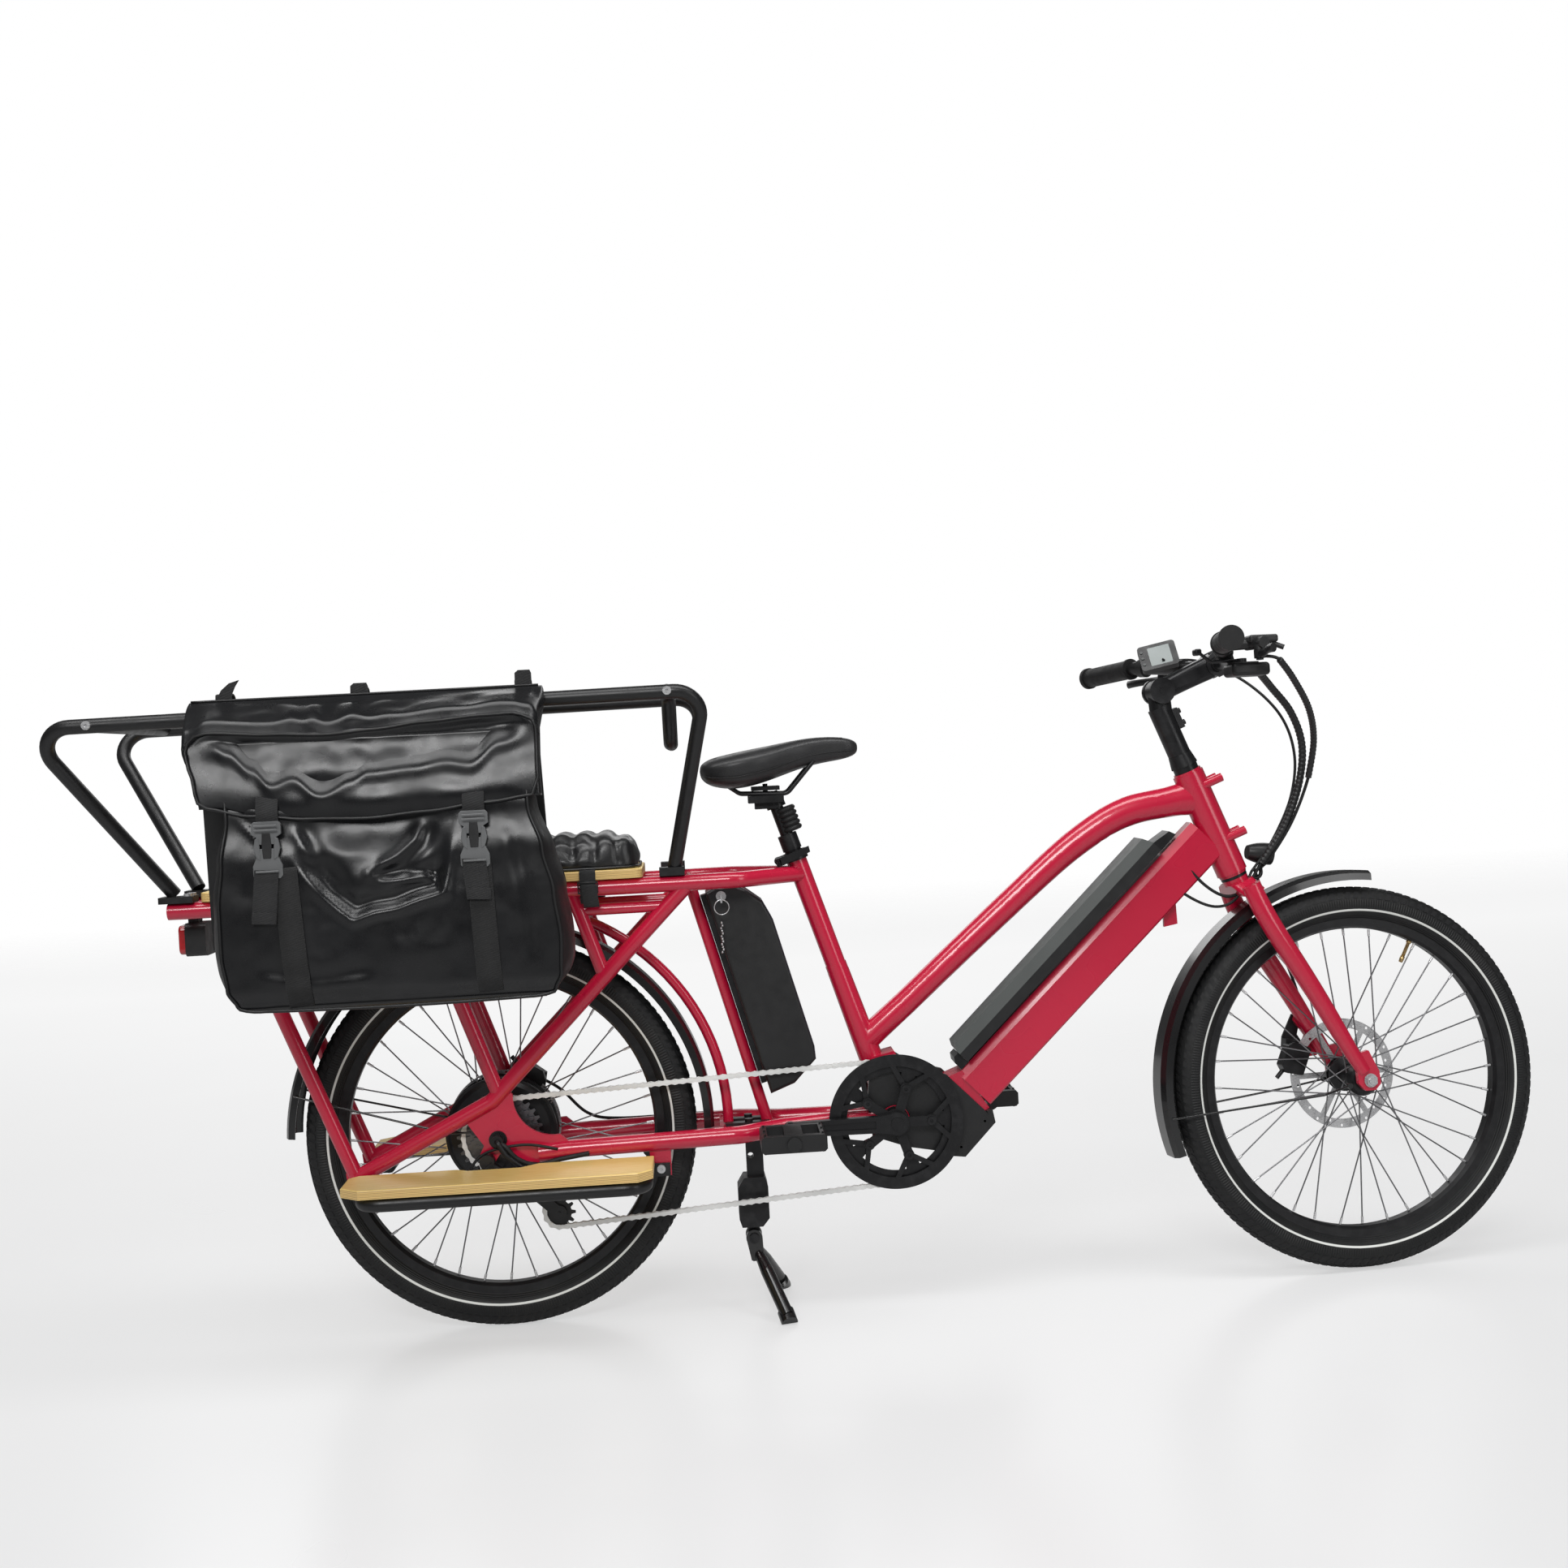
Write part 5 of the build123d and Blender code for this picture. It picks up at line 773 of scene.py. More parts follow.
def bag_tabs():
    """Hooks over the side rail: a curved fin at the back and two blocks."""
    shape = Shape()
    fin = [(-362, 986), (-357, 1003), (-349, 1018), (-337, 1028), (-323, 1032), (-329, 1023), (-334, 1012),
           (-335, 1000), (-336, 986)]
    shape.add(*slab(fin, (0, -209.6, 0), (1, 0, 0), (0, 0, 1), 5.0))
    for x0, x1, top in ((-163, -137, 1019), (77, 102, 1026)):
        profile = [(x0, 985), (x0 + 1, top - 4), (x0 + 6, top), (x1 - 2, top), (x1, top - 5), (x1, 985)]
        shape.add(*slab(profile, (0, -209.6, 0), (1, 0, 0), (0, 0, 1), 5.0))
    for x in (-346, -150, 89):
        over = [Vector((x, -213, 960)), Vector((x, -212.8, 1006)), Vector((x, -208, 1011)), Vector((x, -199, 1012)),
                Vector((x, -190, 1008)), Vector((x, -186.5, 998)), Vector((x, -186.5, 978))]
        shape.add(*ribbon(smooth_path(over, 5), (1, 0, 0), 24, 2.4))
    return shape


piece("bag_tabs", bag_tabs(), "frame", WEB, flat=True, bevel=1.0)


def strap_on_front(x_high, z_high, x_low, z_low, lift):
    """Webbing points that lie on the front cloth, resting on its ridges."""
    points = []
    count = 26
    for k in range(count):
        t = k / (count - 1)
        x = x_high + (x_low - x_high) * t
        z = z_high + (z_low - z_high) * t
        proud = min(bag_front(x + dx, z) for dx in (-16, -8, 0, 8, 16))
        points.append(Vector((x, proud - lift, z)))
    return points


def low_webbing():
    """Straps sewn down the front panel, one below each buckle."""
    shape = Shape()
    for x_high, x_low, z_low in ((-246, -233, 563), (24, 32, 570)):
        shape.add(*ribbon(strap_on_front(x_high, 760, x_low, z_low, 1.8), (1, 0, 0.05), 35, 1.5))
    return shape


piece("bag_low_webbing", low_webbing(), "frame", WEB_DARK)
BUCKLES = ((-268, 786), (20, 786))
LID_LOW = [(-361, 849), (-290, 834), (-210, 826), (-129, 823), (-47, 828), (35, 836), (112, 844)]


def lid_straps():
    """Straps from under the lid through the buckles, with their loose ends."""
    shape = Shape()
    for (x, z), tail in zip(BUCKLES, (683, 701)):
        high = strap_on_front(x, 872, x, 806, 4.5)
        shape.add(*ribbon(high, (1, 0, 0), 31, 1.6))
        low = strap_on_front(x - 2, 758, x - 8 if x < 0 else x + 3, tail, 4.8)
        shape.add(*ribbon(low, (1, 0, -0.06), 34, 1.6))
        folded = strap_on_front(x - 7 if x < 0 else x + 3, tail + 16, x - 8 if x < 0 else x + 3, tail, 6.6)
        shape.add(*ribbon(folded, (1, 0, -0.06), 34, 1.8))
    return shape


piece("lid_straps", lid_straps(), "bag_lid", WEB)


def mirrored(half):
    return half + [(-a, b) for a, b in reversed(half)]


def buckle_bodies():
    """Side release buckles: a ladder bar on top, pinched prongs and the lower housing."""
    shape = Shape()
    for x, z in BUCKLES:
        y = min(bag_front(x + dx, z + dz) for dx in (-20, 0, 20) for dz in (-25, 0, 25)) - 4.5
        lower = mirrored([(0, -40), (17, -40), (20.5, -36), (20.5, -22), (15, -10), (12, 2), (0, 2)])
        upper = mirrored([(0, 8), (11, 8), (14, 18), (20.5, 22), (20.5, 36), (17, 40), (0, 40)])
        prong = [(9.5, -14), (15, -10), (18.5, 2), (16, 16), (11.5, 18), (10, 6)]
        shape.add(*slab(lower, (x, y, z), (1, 0, 0), (0, 0, 1), -6.5))
        shape.add(*slab(upper, (x, y, z), (1, 0, 0), (0, 0, 1), -6.5))
        shape.add(*slab(prong, (x, y - 0.8, z), (1, 0, 0), (0, 0, 1), -5.2))
        shape.add(*slab([(-a, b) for a, b in reversed(prong)], (x, y - 0.8, z), (1, 0, 0), (0, 0, 1), -5.2))
        for bar in (28, 34, -30):
            rib = [(-16, bar - 1.4), (16, bar - 1.4), (16, bar + 1.4), (-16, bar + 1.4)]
            shape.add(*slab(rib, (x, y - 6.3, z), (1, 0, 0), (0, 0, 1), -1.4))
    return shape


def buckle_centres():
    shape = Shape()
    for x, z in BUCKLES:
        y = min(bag_front(x + dx, z + dz) for dx in (-20, 0, 20) for dz in (-25, 0, 25)) - 4.5
        core = [(-5.5, -12), (5.5, -12), (7, 6), (5.5, 24), (-5.5, 24), (-7, 6)]
        shape.add(*slab(core, (x, y - 1.0, z), (1, 0, 0), (0, 0, 1), -6.4))
    return shape


piece("buckle_bodies", buckle_bodies(), "bag_lid", MID_GREY, flat=True, bevel=1.0)
piece("buckle_centres", buckle_centres(), "bag_lid", PLASTIC, flat=True, bevel=0.8)

# the lid: a cap with a drooping top, a dented front panel and side skirts
LID_RIDGE = [(-384, 938), (-353, 953), (-265, 947), (-183, 943), (-118, 947), (-44, 954), (39, 959), (80, 960),
             (104, 954), (116, 938)]
LID_DENT = [(-340, 948), (-322, 940), (-288, 916), (-261, 893), (-232, 901), (-191, 875), (-151, 893), (-126, 904),
            (-61, 909), (-19, 915), (17, 909), (60, 938), (110, 948)]
LID_LEFT = [(845, -362), (880, -369), (917, -379), (945, -386), (1003, -394)]
LID_RIGHT = [(845, 113), (887, 112), (933, 112), (960, 112), (1003, 117)]
PEAKS = ((-236, 7.0, 16), (-205, 9.0, 12), (-152, 11.0, 20), (-106, 5.0, 18), (-30, 3.5, 26), (52, 3.0, 22))


def lid_front(x, z):
    """Y of the lid's front panel, with its broad dent under the top piping."""
    y = -303 - 17.5 * step((952 - z) / 110)
    dent = table(LID_DENT, x)
    ridge = table(LID_RIDGE, x)
    if z > dent - 26:
        depth = step((z - dent + 26) / 40) * step((ridge - z) / 12)
        y += 10.0 * depth * step((x + 366) / 40) * step((112 - x) / 50)
    y -= 3.4 * bell(z - dent + 16, 13) * step((x + 366) / 40) * step((112 - x) / 50)
    y += 2.2 * noise.noise(Vector((x / 55, z / 38, 5.5))) * step((ridge - z) / 14)
    y -= 3.0 * bell(z - 850, 18) * bell(x + 120, 150)
    return y


def lid_top(x, t):
    """Point on the lid's top; t runs from the back seam (0) to the front ridge (1)."""
    ridge = table(LID_RIDGE, x)
    z = 1002 + (ridge + 14 - 1002) * t ** 1.25
    z -= 14 * step((t - 0.86) / 0.14)
    z -= 5.0 * math.sin(math.pi * t) * bell(x + 130, 170)
    for at, rise, width in PEAKS:
        lean = at + 14 * (t - 0.7)
        z += rise * bell(x - lean, width) * math.sin(math.pi * min(max((t - 0.25) / 0.75, 0), 1)) * 0.9
    z += 2.6 * noise.noise(Vector((x / 42, t * 3.2, 14.2))) * math.sin(math.pi * t)
    return Vector((x, -217 - 85 * t, z))


def lid_row(u):
    """One strip of the lid from the back seam to its lower front edge; u runs from 0 to 1 across."""
    row = []
    for k in range(26):
        t = k / 25
        z_guess = 1003 - 55 * t
        x0, x1 = table(LID_LEFT, z_guess), table(LID_RIGHT, z_guess)
        row.append(lid_top(x0 + (x1 - x0) * u, t))
    x0, x1 = table(LID_LEFT, 945), table(LID_RIGHT, 945)
    top = table(LID_RIDGE, x0 + (x1 - x0) * u)
    bottom = table(LID_LOW, x0 + (x1 - x0) * u) - 2
    for k in range(1, 30):
        z = top + (bottom - top) * k / 29
        x0, x1 = table(LID_LEFT, z), table(LID_RIGHT, z)
        x = x0 + (x1 - x0) * u
        row.append(Vector((x, lid_front(x, z), z)))
    return row


def lid_cover():
    rows = []
    middle = [lid_row(k / 110) for k in range(111)]
    for edge, sign in ((middle[0], -1), (middle[-1], 1)):
        skirts = []
        for depth, out in ((62, -3), (40, 1.5), (20, 3), (7, 2.2), (2, 1)):
            strip = []
            for i, p in enumerate(edge):
                t = i / (len(edge) - 1)
                if i < 26:
                    low = Vector((0, 0, -depth * (0.25 + 0.75 * step(t * 3))))
                else:
                    low = Vector((0, min(depth, 62) * 0.9, 0))
                corner = step((t - 0.3) / 0.3)
                drop = Vector((0, 0, -depth)).lerp(Vector((0, depth * 0.9, 0)), corner)
                strip.append(p + (low * 0.3 + drop * 0.7) + Vector((sign * out, 0, 0)))
            skirts.append(strip)
        rows += skirts if sign < 0 else []
        if sign < 0:
            rows += middle
        else:
            rows += list(reversed(skirts))
    shape = Shape()
    shape.add([p for row in rows for p in row], grid_faces(len(rows), len(rows[0])))
    return shape


lid = piece("bag_lid_cover", lid_cover(), "bag_lid", TARP, thick=1.8)
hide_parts("bag_lid")


def lid_piping():
    shape = Shape()
    path = []
    for x in range(-352, 100, 12):
        z = table(LID_RIDGE, x) + 1
        path.append(Vector((x, lid_front(x, z - 6) - 2.0, z)))
    path += [Vector((107, -305, 951)), Vector((111.5, -306, 940))]
    path += [Vector((table(LID_RIGHT, z), lid_front(108, z) - 2, z)) for z in range(928, 856, -12)]
    low = [Vector((x, lid_front(x, table(LID_LOW, x)) - 2.2, table(LID_LOW, x))) for x in range(104, -354, -12)]
    up = [Vector((table(LID_LEFT, z), lid_front(-362, z) - 2, z)) for z in range(856, 934, 12)]
    path += low + up + [Vector((-378, -306, 941)), Vector((-368, -305, 950))]
    shape.add(*tube(path, 2.3, 8, closed=True))
    seam = [lid_top(x, 0.02) + Vector((0, 0.5, 1.2)) for x in range(-392, 116, 12)]
    shape.add(*tube(seam, 1.8, 8))
    return shape


piece("lid_piping", lid_piping(), "bag_lid", TARP_MATT)

# ---------------------------------------------------------------- passenger pad and its strap
PAD_X = (-66.0, 243.0)
PAD_HALF = 84.0
PAD_LOW = 717.6
PAD_HIGH = 774.0
LOBE = 34.3


def pad_block():
    """Closed superellipse block, a little smaller than the finished pad."""
    rows = []
    centre = (PAD_X[0] + PAD_X[1]) / 2
    half_x, half_y = (PAD_X[1] - PAD_X[0]) / 2 - 4, PAD_HALF - 4
    levels = [(0.0, 0.90), (0.02, 1.0), (0.35, 1.0), (0.7, 0.995), (0.88, 0.97), (0.97, 0.90), (1.0, 0.78),
              (1.0, 0.4), (1.0, 0.02)]
    for up, size in levels:
        row = []
        for k in range(72):
            a = 2 * math.pi * k / 72
            cx = math.copysign(abs(math.cos(a)) ** 0.28, math.cos(a))
            cy = math.copysign(abs(math.sin(a)) ** 0.28, math.sin(a))
            z = PAD_LOW + (PAD_HIGH - 6 - PAD_LOW) * up
            row.append(Vector((centre + half_x * cx * size, half_y * cy * size, z)))
        rows.append(row)
    shape = Shape()
    cols = 72
    faces = grid_faces(len(rows), cols, True) + [tuple(range(cols)), tuple(range((len(rows) - 1) * cols, len(rows) * cols))]
    return shape.add([p for row in rows for p in row], faces)


def bake(obj):
    """Replace an object's mesh with its evaluated one and drop the modifiers."""
    graph = bpy.context.evaluated_depsgraph_get()
    mesh = bpy.data.meshes.new_from_object(obj.evaluated_get(graph))
    obj.modifiers.clear()
    obj.data = mesh


def swell(obj, pressure, cap):
    """Cloth simulation: the closed cover swells off its flat underside, capped at a few millimetres."""
    scene = bpy.context.scene
    start = [v.co.copy() for v in obj.data.vertices]
    held = obj.vertex_groups.new(name="held")
    low = min(p.z for p in start)
    held.add([i for i, p in enumerate(start) if p.z < low + 0.004], 1.0, "REPLACE")
    cloth = obj.modifiers.new("Cloth", "CLOTH")
    cloth.settings.use_pressure = True
    cloth.settings.uniform_pressure_force = pressure
    cloth.settings.effector_weights.gravity = 0
    cloth.settings.vertex_group_mass = "held"
    cloth.settings.quality = 4
    scene.frame_start, scene.frame_end = 1, 20
    for number in range(1, 21):
        scene.frame_set(number)
    bake(obj)
    for v, p in zip(obj.data.vertices, start):
        move = v.co - p
        if move.length > cap:
            v.co = p + move.normalized() * cap
    scene.frame_set(1)


def soft_pad():
    pad = piece("pad_cushion", pad_block(), None, VINYL)
    remesh = pad.modifiers.new("Remesh", "REMESH")
    remesh.mode = "VOXEL"
    remesh.voxel_size = 0.005
    bake(pad)
    swell(pad, 4.0, 0.007)
    centre = (PAD_X[0] + PAD_X[1]) / 2
    for v in pad.data.vertices:
        p = v.co / MM
        across = (p.x - PAD_X[0]) / LOBE
        gap = abs(across - round(across)) * LOBE
        inner = 0.4 < across < 8.6
        groove = bell(gap, 3.4) if inner else 0.0
        crown = math.cos(math.pi * min(gap / LOBE, 0.5)) if inner else 0.6
        high = step((p.z - PAD_LOW - 6) / 24)
        p.z -= high * (6.0 * groove + 3.0 * crown)
        side = step((abs(p.y) - PAD_HALF + 22) / 14) * step((p.z - PAD_LOW - 3) / 8)
        p.y -= math.copysign(2.8 * groove * side, p.y)
        p.z += 1.4 * high * bell(p.y, 70) + 0.5 * noise.noise(Vector((p.x / 18, p.y / 24, 2.0))) * high
        p.z = max(p.z, PAD_LOW)
        p.x = centre + (p.x - centre) * (1 - 0.012 * high)
        v.co = p * MM
    soft = pad.modifiers.new("Subdivision", "SUBSURF")
    soft.levels = soft.render_levels = 1
    bake(pad)
    for face in pad.data.polygons:
        face.use_smooth = True
    pad.data.materials.clear()
    pad.data.materials.append(VINYL)
    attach(pad, "frame")
    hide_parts("passenger_pad")


soft_pad()


def pad_seams():
    """Welt round the pad's foot."""
    shape = Shape()
    outline = []
    centre = (PAD_X[0] + PAD_X[1]) / 2
    for k in range(96):
        a = 2 * math.pi * k / 96
        cx = math.copysign(abs(math.cos(a)) ** 0.28, math.cos(a))
        cy = math.copysign(abs(math.sin(a)) ** 0.28, math.sin(a))
        outline.append((centre + 152.5 * cx, 82.0 * cy, PAD_LOW + 2.6))
    shape.add(*tube(outline, 2.0, 8, closed=True))
    return shape


piece("pad_welt", pad_seams(), "frame", VINYL)


def deck_strap():
    """Strap down each side of the deck to a hook under the rail, with its ladder buckle."""
    webs, metal = Shape(), Shape()
    x = 161.0
    for side in (-1, 1):
        y = side * 94.4
        path = [(x, side * 66, 717.9), (x, side * 86, 717.9), (x, side * 92.6, 716), (x, y, 709), (x, y + side, 694),
                (x, y + side, 678), (x, y - side * 3, 669), (x, y - side * 12, 668)]
        webs.add(*ribbon(smooth_path(path, 4), (1, 0, 0), 25, 1.6))
        tail = [(x + 2, y + side * 2.4, 697), (x + 3, y + side * 4.2, 680), (x + 5, y + side * 4.6, 662)]
        webs.add(*ribbon(smooth_path(tail, 4), (1, 0, 0), 24, 1.5))
        frame_path = [(x - 15, y + side * 1.6, 700), (x + 15, y + side * 1.6, 700), (x + 15, y + side * 1.6, 684),
                      (x - 15, y + side * 1.6, 684)]
        metal.add(*tube(frame_path, 1.7, 8, closed=True))
        metal.add(*tube([(x - 14, y + side * 1.8, 692), (x + 14, y + side * 1.8, 692)], 1.5, 8))
    return webs, metal


webs, metal = deck_strap()
strap = piece("deck_strap", webs, "frame", WEB)
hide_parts("pad_strap")
piece("deck_strap_buckles", metal, "frame", PLASTIC)

# ---------------------------------------------------------------- saddle
SADDLE_RUN = ((343, 862, 36, 6, 10), (350, 862, 54, 13, 20), (365, 863, 65, 19, 29), (395, 866, 72, 22, 37),
              (425, 870, 69, 23, 37), (455, 875, 57, 22, 34), (485, 882, 42, 20, 31), (515, 889, 31, 17, 29),
              (545, 892, 25, 15, 27), (572, 892, 22, 13, 24), (590, 890, 17, 9, 17), (597, 888, 8, 4, 8))


def saddle_cover():
    rows = []
    for x, z, half, above, below in SADDLE_RUN:
        row = []
        for k in range(28):
            a = 2 * math.pi * k / 28
            c, s = math.cos(a), math.sin(a)
            y = half * math.copysign(abs(c) ** 0.62, c)
            h = above * s ** 0.9 if s > 0 else -below * abs(s) ** 0.55
            dip = 2.6 * bell(y, 9) if s > 0 and 380 < x < 580 else 0
            row.append(Vector((x, y, z + h - dip)))
        rows.append(row)
    shape = Shape()
    faces = grid_faces(len(rows), 28, True) + [tuple(range(28)), tuple(range((len(rows) - 1) * 28, len(rows) * 28))]
    return shape.add([p for row in rows for p in row], faces)


cover = piece("saddle_cover", saddle_cover(), "saddle", SADDLE, level=2)
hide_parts("saddle")


def saddle_seams():
    shape = Shape()
    for side in (-1, 1):
        edge = [(x, side * (half * 0.985), z - below * 0.45) for x, z, half, above, below in SADDLE_RUN[1:-1]]
        shape.add(*tube(smooth_path(edge, 5), 1.0, 6))
        panel = [(x, side * half * 0.62, z + above * 0.80) for x, z, half, above, below in SADDLE_RUN[2:-2]]
        shape.add(*tube(smooth_path(panel, 5), 0.7, 6))
    return shape


piece("saddle_seams", saddle_seams(), "saddle", RUBBER)

# ---------------------------------------------------------------- seatpost boot
SEAT_TILT = math.radians(17.6)
SEAT_UP = Vector((-math.sin(SEAT_TILT), 0, math.cos(SEAT_TILT)))
SEAT_FORE = Vector((math.cos(SEAT_TILT), 0, math.sin(SEAT_TILT)))
BOTTOM_BRACKET = Vector((623, 0, 292))


def seat_point(along, fore=10.8):
    return BOTTOM_BRACKET + SEAT_UP * along + SEAT_FORE * fore


def bellows():
    """Soft folds of the boot between the post's collar and the saddle clamp."""
    count = 81
    points = [seat_point(486 + 40.4 * k / (count - 1)) for k in range(count)]
    return Shape().add(*tube(points, lambda k: 14.2 + 2.9 * abs(math.sin(math.pi * 5 * k / (count - 1))) ** 0.7, 32))


boot = piece("boot_folds", bellows(), None, RUBBER)
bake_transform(boot)
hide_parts("seatpost_boot")

# ---------------------------------------------------------------- cables and hoses
def cable(name, points, radius, look, bodies, steps=10, sides=10):
    shape = Shape().add(*tube(smooth_path(points, steps), radius, sides))
    if len(bodies) == 1:
        return piece(name, shape, bodies[0], look)
    obj = piece(name, shape, None, look)
    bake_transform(obj)
    return obj


def ribbed(points, radius, pitch=7.0):
    """Wrap round a bundle of cables, with a groove at every turn."""
    route = smooth_path(points, 60)
    lengths = [0.0]
    for a, b in zip(route, route[1:]):
        lengths.append(lengths[-1] + (b - a).length)
    return tube(route, lambda i: radius + 0.75 * abs(math.sin(math.pi * lengths[i] / pitch)), 12)


LOOP_A = [(1208, -176, 992), (1228, -190, 985), (1258, -160, 955), (1296, -112, 908), (1318, -62, 858),
          (1316, -34, 800), (1290, -18, 728), (1252, -6, 668), (1232, 0, 652)]
LOOP_B = [(1184, -120, 982), (1216, -110, 975), (1254, -62, 946), (1292, -36, 905), (1312, -22, 852),
          (1306, -16, 790), (1280, -12, 722), (1240, -8, 664)]
LOOP_C = [(1150, 150, 1004), (1190, 120, 1000), (1240, 40, 962), (1286, 6, 905), (1306, 0, 840), (1296, -4, 770),
          (1262, -4, 700), (1222, -14, 652)]
for label, route, radius in (("front_brake_hose", LOOP_A, 2.6), ("rear_brake_hose", LOOP_B, 2.6),
                             ("shift_housing", LOOP_C, 2.3)):
    cable(label, route, radius, RUBBER, ("handlebar", "steering"))
wraps = Shape().add(*ribbed(LOOP_B[1:], 5.4)).add(*ribbed(LOOP_A[1:6], 4.6))
wrap_piece = piece("spiral_wrap", wraps, None, PLASTIC)
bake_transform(wrap_piece)

LOW_CABLES = (
    ("rear_hose_to_frame", [(1240, -8, 664), (1218, -12, 634), (1196, -22, 618), (1168, -26, 618),
                            (1136, -22, 642), (1106, -18, 684)], 2.6),
    ("shift_housing_to_frame", [(1222, -14, 652), (1206, -20, 626), (1180, -28, 604), (1148, -27, 602),
                                (1108, -20, 624), (1076, -14, 658)], 2.3),
)
for label, route, radius in LOW_CABLES:
    cable(label, route, radius, RUBBER, ("steering", "frame"))
cable("front_brake_hose_low", [(1232, 0, 652), (1250, 40, 628), (1262, 58, 590), (1288, 66, 520), (1312, 70, 450),
                               (1322, 74, 408)], 2.5, RUBBER, ("steering",))
cable("display_lead", [(1112, 52, 1004), (1128, 62, 994), (1152, 58, 992), (1176, 44, 990), (1196, 20, 984),
                       (1214, -10, 972)], 2.0, RUBBER, ("handlebar",))
cable("motor_cable", [(0, -86, 306), (12, -92, 300), (30, -92, 280), (58, -88, 268), (96, -84, 274), (140, -84, 280)],
      4.0, RUBBER, ("frame",))
cable("shift_housing_low", [(-6, -84, 232), (-30, -88, 236), (-44, -86, 262), (-20, -84, 290), (40, -86, 300),
                            (92, -85, 290)], 2.3, RUBBER, ("frame",))
cable("rear_brake_hose_low", [(60, 84, 372), (90, 84, 352), (130, 84, 312), (180, 84, 300), (300, 84, 300),
                              (380, 80, 300)], 2.5, RUBBER, ("frame",))

# ---------------------------------------------------------------- wheels: valves and tread
def valve(hub, angle, steered):
    shape = Shape()
    a = math.radians(angle)
    out = Vector((math.cos(a), 0, math.sin(a)))
    start = hub + out * 243
    shape.add(*tube([start, start - out * 6, start - out * 6.1, start - out * 30],
                    lambda i: (4.2, 4.2, 2.9, 2.9)[i], 12))
    shape.add(*tube([start - out * 30, start - out * 34, start - out * 40], lambda i: (3.8, 3.8, 3.2)[i], 12))
    return shape


piece("front_valve", valve(FRONT_HUB, 62, True), "front_wheel", BRASS, steered=True)
piece("rear_valve", valve(REAR_HUB, 205, False), "rear_wheel", BRASS)


def tread(hub):
    """Shallow chevron blocks in five rows round the tyre."""
    shape = Shape()
    rows = ((0.0, 3.6), (27.0, 3.4), (-27.0, 3.4), (57.0, 6.0), (-57.0, 6.0))
    count = 132
    for lean, half in rows:
        for i in range(count):
            skew = 0.35 if lean > 0 else -0.35 if lean < 0 else 0.0
            corners = []
            for along, over in ((-1, -1), (1, -1), (1, 1), (-1, 1)):
                angle = 2 * math.pi * (i + 0.5 * (abs(lean) == 27.0) + 0.30 * along + skew * over * 0.5) / count
                roll = math.radians(lean + over * half * 2.05)
                for height in (27.2, 28.3):
                    radius = 280.5 + height * math.cos(roll)
                    corners.append(hub + Vector((radius * math.cos(angle), height * math.sin(roll),
                                                 radius * math.sin(angle))))
            low, high = corners[0::2], corners[1::2]
            faces = [(3, 2, 1, 0), (4, 5, 6, 7)] + [(k, (k + 1) % 4, 4 + (k + 1) % 4, 4 + k) for k in range(4)]
            shape.add(low + high, faces)
    return shape


TREAD = rubber("tread_rubber", (0.013, 0.013, 0.014), 0.66)
piece("rear_tread", tread(REAR_HUB), "rear_wheel", TREAD, flat=True)
piece("front_tread", tread(FRONT_HUB), "front_wheel", TREAD, steered=True, flat=True)

# ---------------------------------------------------------------- small fittings
def key_chain():
    """Short ball chain hanging from the key's ring."""
    shape = Shape()
    for k in range(12):
        low = Vector((364.5 + 1.2 * math.sin(k * 2.1), -49 + 0.4 * math.cos(k), 622 - 4.2 * k))
        shape.add(*disc(low, (0, 0.3, 1), 1.5, 3.2, 8))
    return shape


piece("key_chain", key_chain(), "battery_key", STEEL)

# ---------------------------------------------------------------- stage
def floor_look():
    """Pale studio floor with a faint sheen, fading into the white background far behind."""
    look = Look("studio_white", (0.34, 0.34, 0.34), 0.3, Specular_IOR_Level=0.3)
    look.put("Base Color", look.blend(look.span(look.noise(0.8, 2), 0.3, 0.7), (0.34, 0.34, 0.342),
                                      (0.33, 0.332, 0.336)))
    look.put("Roughness", look.span(look.noise(1.5, 2), 0.3, 0.7, 0.27, 0.33))
    look.put("Emission Color", (1, 1, 1, 1))
    seen = look.span(look.add("ShaderNodeLightPath").outputs["Is Camera Ray"], 0, 1, 0.35, 1)
    glow = look.span(look.axes()[1], -2.0, 5.0, 0.38, 0.80)
    look.put("Emission Strength", look.calc("MULTIPLY", seen, glow))
    clear = look.add("ShaderNodeBsdfTransparent")
    mix = look.add("ShaderNodeMixShader")
    look.feed(mix.inputs[0], look.span(look.axes()[1], 6.0, 9.0))
    look.feed(mix.inputs[1], look.shader.outputs[0])
    look.feed(mix.inputs[2], clear.outputs[0])
    look.feed(look.tree.nodes["Material Output"].inputs["Surface"], mix.outputs[0])
    return look.mat


def floor():
    mesh = bpy.data.meshes.new("studio_floor")
    corners = [(-14.0, -9.0), (14.0, -9.0), (14.0, 9.2), (-14.0, 9.2)]
    mesh.from_pydata([(x, y, -0.0012) for x, y in corners], [], [(0, 1, 2, 3)])
    obj = bpy.data.objects.new("studio_floor", mesh)
    bpy.context.scene.collection.objects.link(obj)
    mesh.materials.append(floor_look())


floor()


def area(name, place, aim, width, height, power, color=(1, 1, 1)):
    data = bpy.data.lights.new(name, "AREA")
    data.shape = "RECTANGLE"
    data.size, data.size_y, data.energy, data.color = width, height, power, color
    lamp = bpy.data.objects.new(name, data)
    lamp.location = place
    lamp.rotation_euler = (Vector(aim) - Vector(place)).to_track_quat("-Z", "Y").to_euler()
    bpy.context.scene.collection.objects.link(lamp)


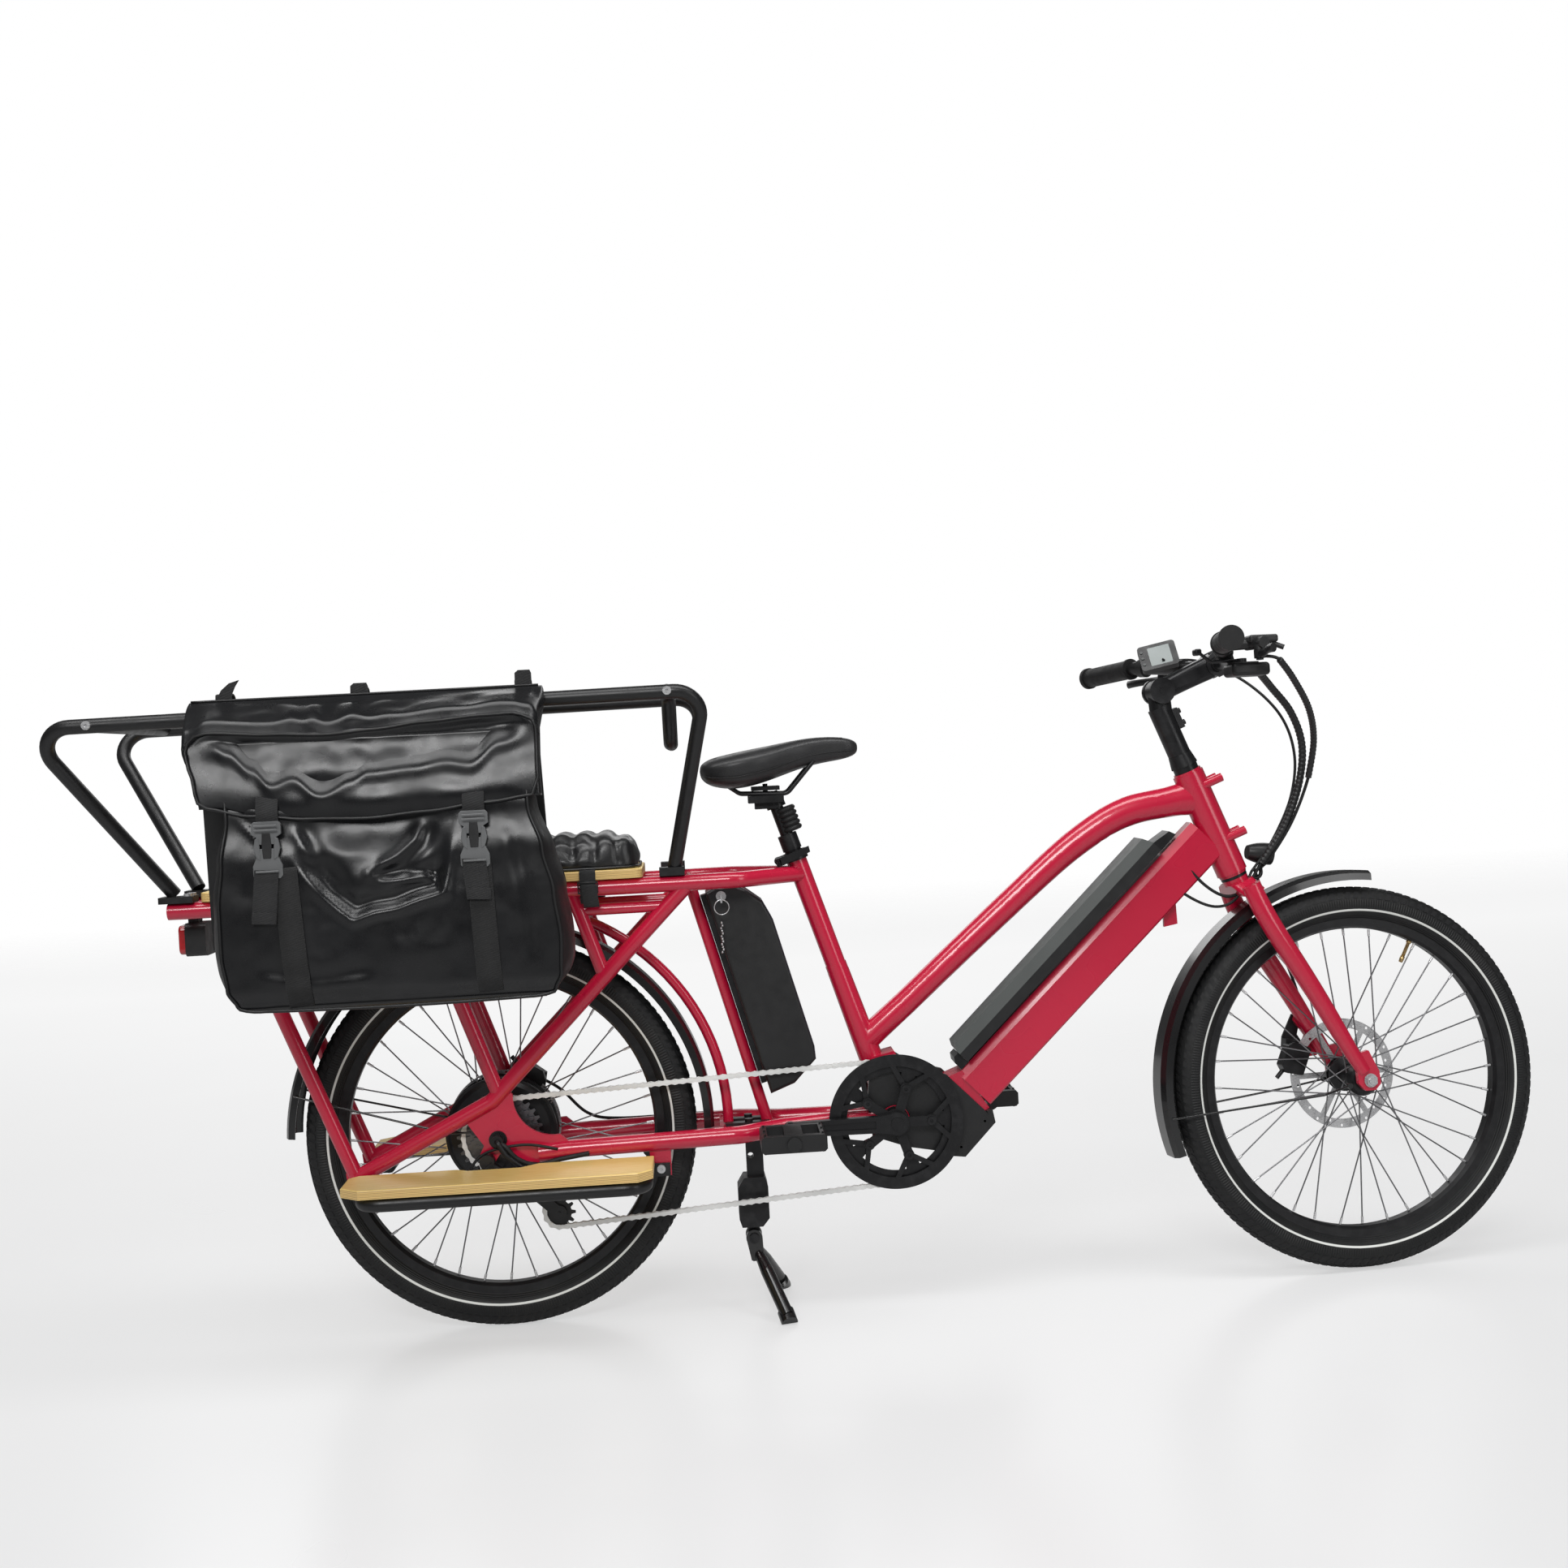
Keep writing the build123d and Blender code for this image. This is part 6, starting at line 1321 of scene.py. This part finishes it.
def studio_world():
    """White where the camera looks past the bicycle, dimmer as a light and in reflections."""
    world = bpy.data.worlds.new("studio")
    bpy.context.scene.world = world
    world.use_nodes = True
    tree = world.node_tree
    path = tree.nodes.new("ShaderNodeLightPath").outputs
    level = tree.nodes.new("ShaderNodeMapRange")
    level.inputs["To Min"].default_value = 0.34
    level.inputs["To Max"].default_value = 0.09
    tree.links.new(path["Is Glossy Ray"], level.inputs["Value"])
    seen = tree.nodes.new("ShaderNodeMath")
    seen.operation = "MAXIMUM"
    tree.links.new(level.outputs["Result"], seen.inputs[0])
    tree.links.new(path["Is Camera Ray"], seen.inputs[1])
    tree.nodes["Background"].inputs[0].default_value = (1.0, 1.0, 1.0, 1)
    tree.links.new(seen.outputs[0], tree.nodes["Background"].inputs[1])


studio_world()
area("overhead", (0.4, -0.9, 3.4), (0.5, 0.0, 0.4), 4.5, 0.9, 78)
area("key", (-0.6, -4.6, 3.3), (0.5, 0, 0.5), 2.6, 1.2, 130)
area("front_right", (3.6, -3.4, 1.9), (0.8, 0, 0.6), 1.2, 2.4, 26)
area("behind", (0.6, 3.8, 2.6), (0.5, 0, 0.5), 5.0, 1.6, 45)

# ---------------------------------------------------------------- camera
YAW, PITCH, ROLL = math.radians(2.842), math.radians(0.934), math.radians(3.061)
ahead = Vector((math.sin(YAW) * math.cos(PITCH), math.cos(YAW) * math.cos(PITCH), -math.sin(PITCH)))
level = Vector((math.cos(YAW), -math.sin(YAW), 0))
down = ahead.cross(level)
cam_x = level * math.cos(ROLL) + down * math.sin(ROLL)
cam_y = level * math.sin(ROLL) - down * math.cos(ROLL)
data = bpy.data.cameras.new("camera")
data.sensor_width = 36.0
data.lens = 42.648
data.clip_end = 100
camera = bpy.data.objects.new("camera", data)
camera.matrix_world = Matrix((
    (cam_x.x, cam_y.x, -ahead.x, 0.3293),
    (cam_x.y, cam_y.y, -ahead.y, -2.9661),
    (cam_x.z, cam_y.z, -ahead.z, 0.8822),
    (0, 0, 0, 1)))
bpy.context.scene.collection.objects.link(camera)
bpy.context.scene.camera = camera
bpy.context.scene.view_settings.view_transform = "Standard"
